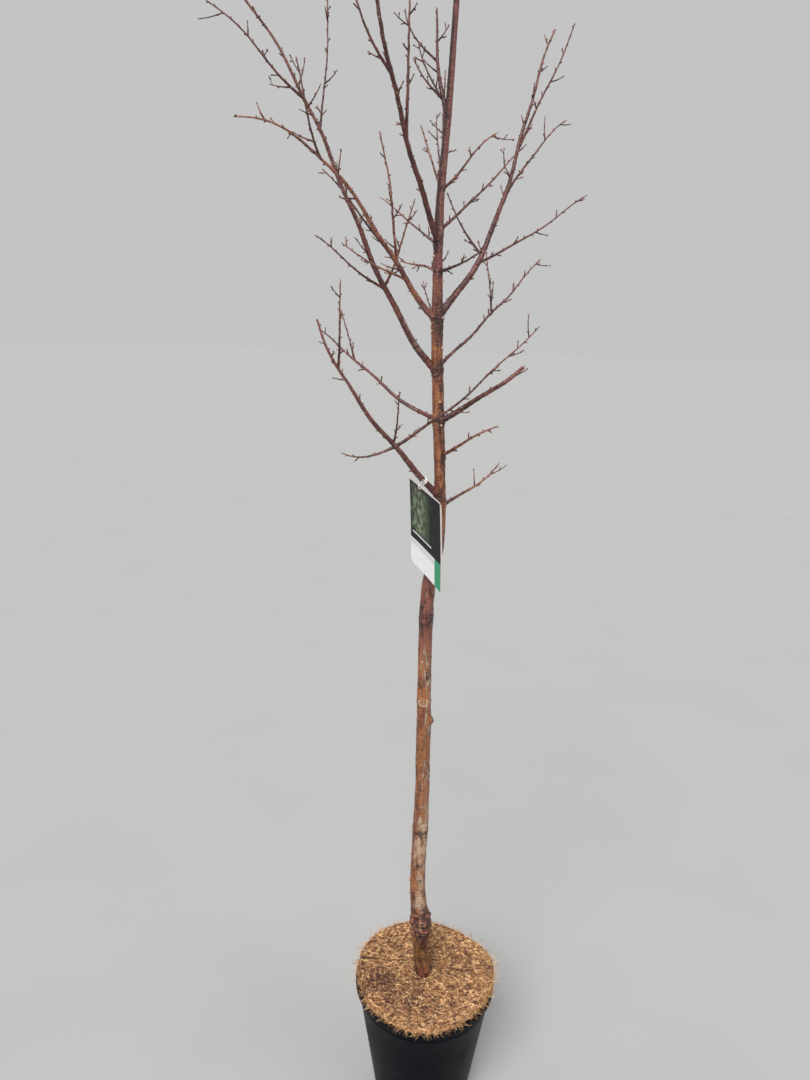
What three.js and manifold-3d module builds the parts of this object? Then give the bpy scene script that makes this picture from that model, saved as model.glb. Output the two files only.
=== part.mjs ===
// A young bare tree in a black nursery pot, with a coir mulch mat and a hanging label.
// Millimetres, +Z up. The origin is the middle of the pot's flat underside.
// Bearings are seen from above, in degrees: 0 is to the right (+X) and 90 is to the back (+Y).

import * as THREE from "three";
import { mergeVertices } from "three/addons/utils/BufferGeometryUtils.js";
import Module from "manifold-3d";

const wasm = await Module();
wasm.setup();

// Clearance between pieces that meet
const GAP = 0.3;

// Pot and compost
const POT = {
  rim: 139, base: 95, height: 270, wall: 2, floor: 3, lip: 4, lipDepth: 14,
  chamfer: 2, lipEdge: 1.5, mouthEdge: 3, sides: 40,
};
const COMPOST_DEPTH = 17;
const GROUND = POT.height - COMPOST_DEPTH;

// Mulch mat: its middle, its outline as rows of bearing and radius, the hole round the stem,
// and the slit from the hole to the mat's edge
const MAT = { middle: [1, -3], thick: 10, sides: 48 };
const MAT_EDGE = [
  [0, 139], [20, 143], [55, 134], [90, 140], [128, 145], [158, 141], [182, 138], [200, 140],
  [219, 143], [232, 136], [262, 140], [288, 136], [320, 130], [345, 134], [360, 139],
];
const MAT_HOLE = { middle: [-4, 2], radius: 24, sides: 28 };
const MAT_SLIT = { wide: 5, from: [-20, 20], bearing: 174, long: 150 };

// Stem: its place on the compost, then rows of height above the floor with its sideways bend,
// its diameter and the heights of the nodes where it swells
const STEM_FOOT = [2, 0];
const STEM_TOP = 2343;
const STEM_BENDS = [
  [GROUND, -4], [280, -6], [305, -10], [350, -13.5], [405, -13.5], [432, -18], [500, -23],
  [670, -20], [850, -22], [1095, -22], [1185, -7],
  [1305, -9], [1435, -17], [1545, -22], [1705, -24], [1850, -16], [1990, -10], [STEM_TOP, 2],
];
const STEM_THICKNESS = [
  [GROUND, 30], [280, 29.8], [300, 29.4], [320, 25.4], [339, 28], [354, 32], [370, 33.8], [385, 37.4],
  [402, 40.2], [413, 39], [430, 33.8], [460, 31], [490, 29.2], [700, 26.6], [1095, 23.4], [1185, 20.8],
  [1295, 18.6],
  [1540, 18.4], [1590, 16], [1685, 14.2], [1730, 12.2], [1850, 10.3], [1990, 8.8], [STEM_TOP, 3],
];
const STEM_NODES = [616, 885, 1049, 1262, 1336, 1392, 1474, 1556, 1622, 1686, 1744, 1842];
const NODE = { swell: 0.12, spread: 18 };
const FLARE = { swell: 0.22, height: 26 };

// Boughs: height on the stem, bearing, rise above level at the root, middle and tip, length,
// length up to the first fork, and diameter at the root and tip
const BOUGHS = {
  low_left: { height: 1262, bearing: 205, rise: [48, 50, 70], length: 360, fork: 116, thick: [11.5, 3] },
  low_right: { height: 1246, bearing: 40, rise: [14, 22, 34], length: 150, fork: 60, thick: [6.6, 2.6] },
  mid_right: { height: 1389, bearing: 340, rise: [27, 35, 40], length: 166, fork: 120, thick: [9.4, 5.8] },
  mid_left: { height: 1391, bearing: 145, rise: [13, 32, 26], length: 290, fork: 110, thick: [8.4, 2.4] },
  long_left: { height: 1468, bearing: 190, rise: [48, 66, 38], length: 660, fork: 148, thick: [11, 2.2] },
  rear_right: { height: 1474, bearing: 50, rise: [30, 32, 36], length: 340, fork: 140, thick: [6, 2] },
  high_left: { height: 1549, bearing: 215, rise: [38, 47, -6], length: 430, fork: 80, thick: [10.4, 2] },
  high_right: { height: 1555, bearing: 30, rise: [38, 72, 66], length: 480, fork: 106, thick: [11.5, 2.6] },
  second_leader: {
    height: 1666, bearing: 242, rise: [44, 60, 76], length: 560, fork: 164, thick: [9.4, 2.4],
  },
  rear_low: { height: 1424, bearing: 89, rise: [46, 58, 66], length: 300, fork: 120, thick: [7.4, 2] },
  rear_high: { height: 1640, bearing: 88, rise: [50, 64, 72], length: 340, fork: 130, thick: [7, 2] },
};

// Shoots that leave the stem itself, each a twig mass of its own
const STEM_SHOOTS = {
  fore_right: { height: 1332, bearing: 325, rise: [30, 30, 28], length: 122, thick: [6, 2.4] },
  back_left: { height: 1619, bearing: 120, rise: [22, 10, 6], length: 120, thick: [5, 2] },
  front_right: { height: 1621, bearing: 300, rise: [16, 8, 28], length: 120, thick: [5, 2.2] },
  thin_left: { height: 1660, bearing: 150, rise: [32, 38, 24], length: 130, thick: [4, 1.8] },
  upper_right: { height: 1683, bearing: 20, rise: [30, 46, 40], length: 172, thick: [5.2, 2] },
  top_left: { height: 1742, bearing: 130, rise: [50, 66, 58], length: 106, thick: [4.4, 2] },
  top_right: { height: 1741, bearing: 340, rise: [28, 48, 28], length: 112, thick: [4.4, 2] },
  left_leader: { height: 1838, bearing: 165, rise: [74, 82, 86], length: 146, thick: [7.6, 2.6] },
  crown_front: { height: 1990, bearing: 285, rise: [52, 62, 70], length: 120, thick: [4, 1.8] },
  crown_right: { height: 2060, bearing: 25, rise: [50, 62, 70], length: 130, thick: [3.8, 1.8] },
  crown_left: { height: 2130, bearing: 170, rise: [50, 64, 72], length: 110, thick: [3.6, 1.8] },
};

// Side shoots inside a mass: distance along its limb, then as above
const SIDE_SHOOTS = {
  low_left: [
    { at: 124, bearing: 355, rise: [30, 43, 46], length: 288, thick: [5.2, 1.8] },
    { at: 124, bearing: 196, rise: [-24, -6, 22], length: 92, thick: [4.6, 1.8] },
    { at: 130, bearing: 330, rise: [74, 82, 84], length: 84, thick: [3.4, 1.8] },
    { at: 282, bearing: 290, rise: [78, 86, 84], length: 128, thick: [4, 1.8] },
  ],
  mid_left: [{ at: 200, bearing: 112, rise: [40, 48, 52], length: 110, thick: [3.6, 1.8] }],
  long_left: [
    { at: 154, bearing: 200, rise: [26, 36, 30], length: 132, thick: [4.2, 1.8] },
    { at: 158, bearing: 322, rise: [56, 66, 74], length: 134, thick: [4, 1.8] },
    { at: 395, bearing: 60, rise: [74, 84, 88], length: 176, thick: [3.2, 1.8] },
    { at: 440, bearing: 205, rise: [34, 42, 26], length: 168, thick: [4, 1.8] },
  ],
  rear_right: [{ at: 170, bearing: 95, rise: [44, 52, 56], length: 130, thick: [3.6, 1.8] }],
  high_left: [
    { at: 86, bearing: 200, rise: [24, 24, 30], length: 112, thick: [3.8, 1.8] },
    { at: 114, bearing: 225, rise: [84, 78, 72], length: 178, thick: [4.6, 1.8] },
    { at: 130, bearing: 196, rise: [50, 48, 42], length: 150, thick: [4.4, 1.8] },
    { at: 300, bearing: 240, rise: [56, 66, 70], length: 120, thick: [3.4, 1.8] },
  ],
  high_right: [
    { at: 112, bearing: 10, rise: [18, 34, 32], length: 202, thick: [4.4, 1.8] },
    { at: 124, bearing: 200, rise: [50, 54, 60], length: 108, thick: [3.8, 1.8] },
    { at: 200, bearing: 36, rise: [58, 48, 34], length: 200, thick: [4.4, 1.8] },
    { at: 296, bearing: 350, rise: [62, 66, 68], length: 186, thick: [4, 1.8] },
  ],
  second_leader: [
    { at: 170, bearing: 272, rise: [76, 86, 92], length: 176, thick: [5, 2.2] },
    { at: 250, bearing: 200, rise: [52, 62, 70], length: 140, thick: [4, 1.8] },
    { at: 340, bearing: 285, rise: [52, 64, 70], length: 150, thick: [4, 1.8] },
    { at: 440, bearing: 170, rise: [52, 64, 70], length: 110, thick: [3.6, 1.8] },
  ],
  rear_low: [{ at: 126, bearing: 112, rise: [40, 50, 56], length: 120, thick: [4, 1.8] }],
  rear_high: [{ at: 136, bearing: 96, rise: [44, 56, 62], length: 150, thick: [4, 1.8] }],
  left_leader: [
    { at: 24, bearing: 165, rise: [52, 64, 70], length: 86, thick: [3.6, 1.8] },
    { at: 26, bearing: 205, rise: [36, 44, 58], length: 70, thick: [3.4, 1.8] },
    { at: 78, bearing: 180, rise: [40, 52, 80], length: 84, thick: [3.4, 1.8] },
  ],
};

// Twigs along every limb of a mass, by one seeded rule
const TWIG = {
  seed: 1207, first: 22, spacing: 41, last: 4, turn: 137.5, lean: 52, lift: 16,
  shortest: 8, longest: 34, skew: 2, thick: [2.4, 1.3], share: 1.7, clearance: 5,
};

// Spacing of the balls that stand for a placed limb, and of the points tested against them
const BALLS = { spacing: 6, test: 4 };

// Gentle waver of every limb, and the swelling at its root
const WAVER = { degrees: 4, length: 130 };
const COLLAR = { swell: 0.3, length: 14 };

// How finely limbs are worked out and faceted
const PATH_STEPS = 48;
const FACETS = {
  stem: 12, stemStep: 26, footStep: 11, footTop: 440, bough: 8, boughStep: 22, shoot: 5, shootStep: 34,
  twig: 3, twigStep: 40,
};

// Label: a card hung by a tie from the lowest left bough
const LABEL = {
  wide: 151, tall: 155, thick: 0.8, corner: 12, segments: 4, bearing: 288.8, tilt: 4.4, lean: 4.7,
};
const LABEL_HOLE = { radius: 1.8, below: 4, fromLeft: 57.5 };
const TIE = { thick: 1.6, along: 44.7, facets: 6, around: 20 };

const COLOURS = {
  pot: [0x17181b, 0.5], compost: [0x2b211a, 0.95], mat: [0xb98a55, 0.95], bark: [0x7d4430, 0.45],
  bough: [0x6b3a2e, 0.5], twig: [0x7a4740, 0.6], label: [0x20241f, 0.4], tie: [0xe8e6df, 0.5],
};

const rad = THREE.MathUtils.degToRad;
const tree = new THREE.Group();

// One seeded generator for every draw: the same numbers in every run
let seed = TWIG.seed;
function random() {
  seed = (seed * 16807) % 2147483647;
  return seed / 2147483647;
}

// Straight-line reading of a table of [place, value] rows
function read(rows, place) {
  for (let i = 1; i < rows.length; i += 1) {
    const [p0, v0] = rows[i - 1];
    const [p1, v1] = rows[i];
    if (place <= p1) return v0 + ((v1 - v0) * (place - p0)) / (p1 - p0);
  }
  return rows[rows.length - 1][1];
}

// The same table read as a smooth curve through its rows
function readSmooth(rows, place) {
  const last = rows.length - 1;
  let i = 1;
  while (i < last && place > rows[i][0]) i += 1;
  const [p0, v0] = rows[i - 1];
  const [p1, v1] = rows[i];
  const before = rows[Math.max(i - 2, 0)];
  const after = rows[Math.min(i + 1, last)];
  const slope0 = ((v1 - before[1]) / (p1 - before[0])) * (p1 - p0);
  const slope1 = ((after[1] - v0) / (after[0] - p0)) * (p1 - p0);
  const t = (place - p0) / (p1 - p0);
  return (2 * t ** 3 - 3 * t ** 2 + 1) * v0 + (t ** 3 - 2 * t ** 2 + t) * slope0
    + (3 * t ** 2 - 2 * t ** 3) * v1 + (t ** 3 - t ** 2) * slope1;
}

// Middle of the stem at a height above the floor
function stemMiddle(height) {
  return new THREE.Vector3(STEM_FOOT[0] + readSmooth(STEM_BENDS, height), STEM_FOOT[1], height);
}

function stemRadius(height) {
  let swelling = 1 + FLARE.swell * Math.exp(-(height - GROUND) / FLARE.height);
  for (const node of STEM_NODES) {
    swelling += NODE.swell * Math.exp(-(((height - node) / NODE.spread) ** 2));
  }
  return (read(STEM_THICKNESS, height) / 2) * swelling;
}

// Value of a rise given at the root, middle and tip, at a fraction of the length
function riseAt([root, middle, tip], fraction) {
  const a = 2 * root + 2 * tip - 4 * middle;
  const b = 4 * middle - 3 * root - tip;
  return a * fraction ** 2 + b * fraction + root;
}

// Path of a limb: its points and directions, one step after another from its start
function limbPath(start, limb) {
  const points = [start.clone()];
  const directions = [];
  const step = limb.length / PATH_STEPS;
  for (let i = 0; i < PATH_STEPS; i += 1) {
    const place = (i + 0.5) * step;
    const phase = (2 * Math.PI * place) / WAVER.length + rad(limb.bearing);
    const rise = rad(riseAt(limb.rise, place / limb.length) + WAVER.degrees * Math.sin(phase));
    const bearing = rad(limb.bearing + WAVER.degrees * Math.cos(phase));
    const ahead = new THREE.Vector3(
      Math.cos(rise) * Math.cos(bearing), Math.cos(rise) * Math.sin(bearing), Math.sin(rise));
    directions.push(ahead);
    points.push(points[i].clone().addScaledVector(ahead, step));
  }
  directions.push(directions[PATH_STEPS - 1]);
  const across = new THREE.Vector3(-Math.sin(rad(limb.bearing)), Math.cos(rad(limb.bearing)), 0);
  return { ...limb, points, directions, step, across };
}

// Point, direction and radius of a limb at a distance from its root
function stationAt(path, distance) {
  const place = Math.min(Math.max(distance / path.step, 0), PATH_STEPS);
  const i = Math.min(Math.floor(place), PATH_STEPS - 1);
  const [thickRoot, thickTip] = path.thick;
  const taper = thickRoot + (thickTip - thickRoot) * (distance / path.length) ** 0.8;
  const collar = 1 + COLLAR.swell * Math.exp(-distance / COLLAR.length);
  return {
    point: path.points[i].clone().lerp(path.points[i + 1], place - i),
    ahead: path.directions[i],
    across: path.across,
    radius: (taper / 2) * collar,
  };
}

// A mesh of the geometry as a solid that can be joined and cut
function solidOf(geometry) {
  geometry.deleteAttribute("normal");
  geometry.deleteAttribute("uv");
  const merged = mergeVertices(geometry, 1e-4);
  return new wasm.Manifold(new wasm.Mesh({
    numProp: 3,
    vertProperties: new Float32Array(merged.attributes.position.array),
    triVerts: new Uint32Array(merged.index.array),
  }));
}

function geometryOf(solid) {
  const mesh = solid.getMesh();
  const geometry = new THREE.BufferGeometry();
  geometry.setAttribute("position", new THREE.BufferAttribute(new Float32Array(mesh.vertProperties), 3));
  geometry.setIndex(new THREE.BufferAttribute(new Uint32Array(mesh.triVerts), 1));
  geometry.computeVertexNormals();
  return geometry;
}

// A closed tapering tube through stations of point, direction, a level line across it and radius
function tube(stations, facets) {
  const geometry = new THREE.CylinderGeometry(1, 1, 1, facets, stations.length - 1, false);
  const spots = geometry.attributes.position;
  const across = new THREE.Vector3();
  const over = new THREE.Vector3();
  const spot = new THREE.Vector3();
  for (let i = 0; i < spots.count; i += 1) {
    const ring = Math.round((spots.getY(i) + 0.5) * (stations.length - 1));
    const { point, ahead, radius } = stations[ring];
    across.copy(stations[ring].across).projectOnPlane(ahead).normalize();
    over.crossVectors(ahead, across);
    spot.copy(point).addScaledVector(over, spots.getX(i) * radius);
    spot.addScaledVector(across, spots.getZ(i) * radius);
    spots.setXYZ(i, spot.x, spot.y, spot.z);
  }
  return geometry;
}

function limbTube(path, from, to, facets, spacing) {
  const rings = Math.max(2, Math.ceil((to - from) / spacing) + 1);
  const stations = [];
  for (let i = 0; i < rings; i += 1) {
    stations.push(stationAt(path, from + ((to - from) * i) / (rings - 1)));
  }
  return solidOf(tube(stations, facets));
}

// Places from one to another, no further apart than a step
function evenly(from, to, step) {
  const count = Math.ceil((to - from) / step);
  return Array.from({ length: count + 1 }, (_, i) => from + ((to - from) * i) / count);
}

// The stem's tube, thicker all round by a clearance where one is given
function stemTube(extra) {
  const across = new THREE.Vector3(0, 1, 0);
  const stations = [];
  const heights = [
    ...evenly(GROUND + GAP, FACETS.footTop, FACETS.footStep),
    ...evenly(FACETS.footTop, STEM_TOP, FACETS.stemStep).slice(1),
  ];
  for (const height of heights) {
    const point = stemMiddle(height);
    const ahead = stemMiddle(height + 1).sub(stemMiddle(height - 1)).normalize();
    if (height === GROUND + GAP) ahead.set(0, 0, 1);
    stations.push({ point, ahead, across, radius: stemRadius(height) + extra });
  }
  return solidOf(tube(stations, FACETS.stem));
}

function add(name, geometry, [color, roughness]) {
  const material = new THREE.MeshStandardMaterial({ color, roughness, metalness: 0 });
  const mesh = new THREE.Mesh(geometry, material);
  mesh.name = name;
  tree.add(mesh);
}

// Every limb already placed, as balls along it, so that twigs can keep clear of them
const placed = [];

function remember(path, owner) {
  const count = Math.ceil(path.length / BALLS.spacing);
  for (let i = 0; i <= count; i += 1) {
    const { point, radius } = stationAt(path, (path.length * i) / count);
    placed.push({ point, radius, owner });
  }
}

function isClear(path, owner, from) {
  for (let distance = from; distance <= path.length; distance += BALLS.test) {
    const { point, radius } = stationAt(path, distance);
    for (const ball of placed) {
      const room = ball.radius + radius + TWIG.clearance;
      if (ball.owner !== owner && ball.point.distanceToSquared(point) < room * room) return false;
    }
  }
  return true;
}

// Twigs of a limb by the seeded rule: each leans from it and lifts towards the light
function twigsAlong(path, from, owner) {
  const twigs = [];
  for (let k = 0; from + TWIG.first + k * TWIG.spacing < path.length - TWIG.last; k += 1) {
    const distance = from + TWIG.first + k * TWIG.spacing;
    const { point, ahead, radius } = stationAt(path, distance);
    const across = path.across.clone().projectOnPlane(ahead).normalize();
    const over = new THREE.Vector3().crossVectors(ahead, across);
    const round = rad(TWIG.turn * k + path.bearing);
    const way = ahead.clone().multiplyScalar(Math.cos(rad(TWIG.lean)));
    way.addScaledVector(across, Math.sin(rad(TWIG.lean)) * Math.cos(round));
    way.addScaledVector(over, Math.sin(rad(TWIG.lean)) * Math.sin(round));
    const rise = THREE.MathUtils.radToDeg(Math.asin(way.z));
    const length = TWIG.shortest + (TWIG.longest - TWIG.shortest) * random() ** TWIG.skew;
    const limb = {
      bearing: THREE.MathUtils.radToDeg(Math.atan2(way.y, way.x)),
      rise: [rise, rise + TWIG.lift / 2, rise + TWIG.lift],
      length: length + radius,
      thick: TWIG.thick.map((thick) => Math.min(thick, TWIG.share * radius)),
    };
    const twig = limbPath(point, limb);
    if (!isClear(twig, owner, radius)) continue;
    twigs.push(twig);
    remember(twig, owner);
  }
  return twigs;
}

// The solid less the stem's room, without the scraps that the cut leaves inside
function cutFromStem(solid, stemRoom) {
  const pieces = solid.subtract(stemRoom).decompose();
  return pieces.reduce((best, piece) => (piece.volume() > best.volume() ? piece : best));
}

// The mass of twigs of one limb, from a distance along it: its own stem, side shoots and twigs
function twigMass(path, from, sides, owner, stemRoom) {
  let mass = limbTube(path, from, path.length, FACETS.shoot, FACETS.shootStep);
  for (const side of sides) {
    mass = mass.add(limbTube(side, 0, side.length, FACETS.shoot, FACETS.shootStep));
  }
  const twigs = twigsAlong(path, from, owner);
  for (const side of sides) twigs.push(...twigsAlong(side, 0, owner));
  for (const twig of twigs) {
    mass = mass.add(limbTube(twig, 0, twig.length, FACETS.twig, FACETS.twigStep));
  }
  return stemRoom ? cutFromStem(mass, stemRoom) : mass;
}

function lathe(profile, sides) {
  const geometry = new THREE.LatheGeometry(profile.map(([x, y]) => new THREE.Vector2(x, y)), sides);
  geometry.rotateX(Math.PI / 2);
  return geometry;
}

function extruded(shape, depth, curveSegments) {
  return new THREE.ExtrudeGeometry(shape, { depth, bevelEnabled: false, curveSegments });
}

// Outer radius of the pot's tapering wall at a height
function wallAt(height) {
  return POT.base + ((POT.rim - POT.lip - POT.base) * height) / POT.height;
}

// Pot: a thin tapering wall with a folded lip and a closed floor, open at the top
function potGeometry() {
  const { rim, base, height, wall, floor, lipDepth, chamfer, lipEdge, mouthEdge, sides } = POT;
  const under = height - lipDepth;
  const mouth = height - mouthEdge;
  const profile = [
    [0, 0], [base - chamfer, 0], [wallAt(chamfer), chamfer],
    [wallAt(under), under], [rim - lipEdge, under], [rim, under + lipEdge],
    [rim, height - lipEdge], [rim - lipEdge, height],
    [wallAt(mouth) - wall + chamfer, height], [wallAt(mouth) - wall, mouth],
    [wallAt(floor) - wall, floor], [0, floor],
  ];
  return lathe(profile, sides);
}

// Compost: fills the pot to a little below its rim
function compostGeometry() {
  const inside = POT.wall + GAP;
  const bottom = POT.floor + GAP;
  const profile = [
    [0, bottom], [wallAt(bottom) - inside, bottom], [wallAt(GROUND) - inside, GROUND], [0, GROUND],
  ];
  return lathe(profile, POT.sides);
}

// Mulch mat: a thin sheet with a hole for the stem and a slit from the hole to its edge
function matGeometry() {
  const outline = new THREE.Shape();
  for (let i = 0; i < MAT.sides; i += 1) {
    const bearing = (360 * i) / MAT.sides;
    const radius = readSmooth(MAT_EDGE, bearing);
    const x = MAT.middle[0] + radius * Math.cos(rad(bearing));
    const y = MAT.middle[1] + radius * Math.sin(rad(bearing));
    if (i === 0) outline.moveTo(x, y);
    else outline.lineTo(x, y);
  }
  outline.closePath();
  const hole = new THREE.CylinderGeometry(MAT_HOLE.radius, MAT_HOLE.radius, 3 * MAT.thick, MAT_HOLE.sides);
  hole.rotateX(Math.PI / 2);
  hole.translate(...MAT_HOLE.middle, MAT.thick / 2);
  const slit = new THREE.BoxGeometry(MAT_SLIT.long, MAT_SLIT.wide, 3 * MAT.thick);
  slit.translate(MAT_SLIT.long / 2, 0, MAT.thick / 2);
  slit.rotateZ(rad(MAT_SLIT.bearing));
  slit.translate(...MAT_SLIT.from, 0);
  const sheet = solidOf(extruded(outline, MAT.thick, 1)).subtract(solidOf(hole)).subtract(solidOf(slit));
  const geometry = geometryOf(sheet);
  geometry.translate(0, 0, POT.height + GAP);
  return geometry;
}

// Label card, its hanging point at the origin, turned to its bearing and a little out of level
function labelGeometry(hang) {
  const { wide, tall, thick, corner, segments, bearing, tilt, lean } = LABEL;
  const left = -LABEL_HOLE.fromLeft;
  const right = left + wide;
  const card = new THREE.Shape();
  card.moveTo(left, 0);
  card.lineTo(right - corner, 0);
  card.quadraticCurveTo(right, 0, right, -corner);
  card.lineTo(right, -tall);
  card.lineTo(left + corner, -tall);
  card.quadraticCurveTo(left, -tall, left, corner - tall);
  card.closePath();
  const sheet = extruded(card, thick, segments);
  sheet.translate(0, 0, -thick / 2);
  const hole = new THREE.CylinderGeometry(LABEL_HOLE.radius, LABEL_HOLE.radius, 3 * thick, TIE.around);
  hole.rotateX(Math.PI / 2);
  hole.translate(0, -LABEL_HOLE.below, 0);
  const geometry = geometryOf(solidOf(sheet).subtract(solidOf(hole)));
  geometry.rotateZ(rad(-tilt));
  geometry.rotateX(Math.PI / 2 + rad(lean));
  geometry.rotateZ(rad(bearing));
  geometry.translate(hang.x, hang.y, hang.z);
  return geometry;
}

// A ring of the tie with its middle at a point and its axle along a direction
function tieRing(middle, axle, radius) {
  const ring = new THREE.TorusGeometry(radius, TIE.thick / 2, TIE.facets, TIE.around);
  ring.applyQuaternion(new THREE.Quaternion().setFromUnitVectors(new THREE.Vector3(0, 0, 1), axle));
  ring.translate(middle.x, middle.y, middle.z);
  return solidOf(ring);
}

// Tie: a ring round the bough, a short strand, and a ring through the card's hole
function tieAndHang(bough) {
  const { point, ahead, radius } = stationAt(bough, TIE.along);
  const upper = radius + GAP + TIE.thick / 2;
  const lower = LABEL_HOLE.below;
  const ringBottom = point.clone();
  const downhill = new THREE.Vector3(0, 0, -1).addScaledVector(ahead, ahead.z).normalize();
  ringBottom.addScaledVector(downhill, upper);
  const hang = ringBottom.clone().add(new THREE.Vector3(0, 0, -lower - TIE.thick));
  const edge = new THREE.Vector3(Math.cos(rad(LABEL.bearing)), Math.sin(rad(LABEL.bearing)), 0);
  const strandBottom = hang.clone().add(new THREE.Vector3(0, 0, lower));
  const down = new THREE.Vector3(0, 0, -1);
  const strand = tube([
    { point: ringBottom, ahead: down, across: edge, radius: TIE.thick / 2 },
    { point: strandBottom, ahead: down, across: edge, radius: TIE.thick / 2 },
  ], TIE.facets);
  const tie = tieRing(point, ahead, upper).add(tieRing(hang, edge, lower)).add(solidOf(strand));
  return { tie, hang };
}

add("pot", potGeometry(), COLOURS.pot);
add("compost", compostGeometry(), COLOURS.compost);
add("coir_mat", matGeometry(), COLOURS.mat);
add("stem", geometryOf(stemTube(0)), COLOURS.bark);

const stemRoom = stemTube(GAP);
for (let height = GROUND; height < STEM_TOP; height += BALLS.spacing) {
  placed.push({ point: stemMiddle(height), radius: stemRadius(height), owner: "stem" });
}

// Every limb's path comes before the first twig, so that a twig keeps clear of all of them
const limbs = [];
for (const [name, limb] of Object.entries({ ...BOUGHS, ...STEM_SHOOTS })) {
  const path = limbPath(stemMiddle(limb.height), limb);
  const sides = (SIDE_SHOOTS[name] ?? []).map((side) => limbPath(stationAt(path, side.at).point, side));
  for (const each of [path, ...sides]) remember(each, name);
  limbs.push({ name, path, sides });
}

for (const { name, path, sides } of limbs) {
  const fork = path.fork ?? 0;
  if (fork > 0) {
    const bough = limbTube(path, 0, fork - GAP, FACETS.bough, FACETS.boughStep);
    add(`bough_${name}`, geometryOf(cutFromStem(bough, stemRoom)), COLOURS.bough);
  }
  const mass = twigMass(path, fork, sides, name, fork > 0 ? null : stemRoom);
  add(`twigs_${name}`, geometryOf(mass), COLOURS.twig);
}

const lowBough = limbs.find(({ name }) => name === "low_left").path;
const { tie, hang } = tieAndHang(lowBough);
add("label_tie", geometryOf(tie), COLOURS.tie);
add("label", labelGeometry(hang), COLOURS.label);

export default tree;
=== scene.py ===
"""A young bare tree in a black nursery pot, under a coir mat and with a hanging card, for pictures."""

import logging
import math
from dataclasses import dataclass, field
from enum import Enum
from functools import cache, reduce
from typing import Any, Callable

import bmesh
import bpy
import numpy as np
from mathutils import Matrix, Vector


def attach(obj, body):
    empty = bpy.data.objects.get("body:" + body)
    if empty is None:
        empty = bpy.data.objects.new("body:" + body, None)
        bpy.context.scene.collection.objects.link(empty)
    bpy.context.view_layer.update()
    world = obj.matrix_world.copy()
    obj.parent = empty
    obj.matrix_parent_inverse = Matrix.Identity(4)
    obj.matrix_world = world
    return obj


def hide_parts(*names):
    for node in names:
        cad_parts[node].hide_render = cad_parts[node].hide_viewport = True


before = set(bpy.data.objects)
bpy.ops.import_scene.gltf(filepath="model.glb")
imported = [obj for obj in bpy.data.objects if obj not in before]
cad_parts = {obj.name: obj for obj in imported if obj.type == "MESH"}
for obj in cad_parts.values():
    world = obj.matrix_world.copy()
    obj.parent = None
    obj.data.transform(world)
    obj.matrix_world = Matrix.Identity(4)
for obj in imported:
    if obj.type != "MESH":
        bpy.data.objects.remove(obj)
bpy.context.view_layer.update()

log = logging.getLogger("tree")

Array = np.ndarray
Material = bpy.types.Material
Shape = bmesh.types.BMesh
Piece = bpy.types.Object
Pair = tuple[float, float]
Triple = Colour = tuple[float, float, float]
Rows = tuple[Pair, ...]
Spots = tuple[tuple[float, float, float, float, float], ...]

MM = 0.001
TURN = 2 * math.pi
GOLDEN_ANGLE = 137.5
UP = np.array([0.0, 0.0, 1.0])


# Shader maths


def operator_of(kind: str, swapped: bool = False) -> "Callable[[Field, Field | float], Field]":
    """An operator that adds a Math node of a kind, its two values swapped where it is a reflected one."""
    return lambda own, other: own.paint.maths(kind, *((other, own) if swapped else (own, other)))


@dataclass
class Field:
    """A value inside a material; arithmetic on it adds Math nodes, and | keeps the larger of two values."""

    paint: "Paint"
    socket: bpy.types.NodeSocket

    __add__ = __radd__ = operator_of("ADD")
    __sub__ = operator_of("SUBTRACT")
    __rsub__ = operator_of("SUBTRACT", swapped=True)
    __mul__ = __rmul__ = operator_of("MULTIPLY")
    __or__ = operator_of("MAXIMUM")


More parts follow.
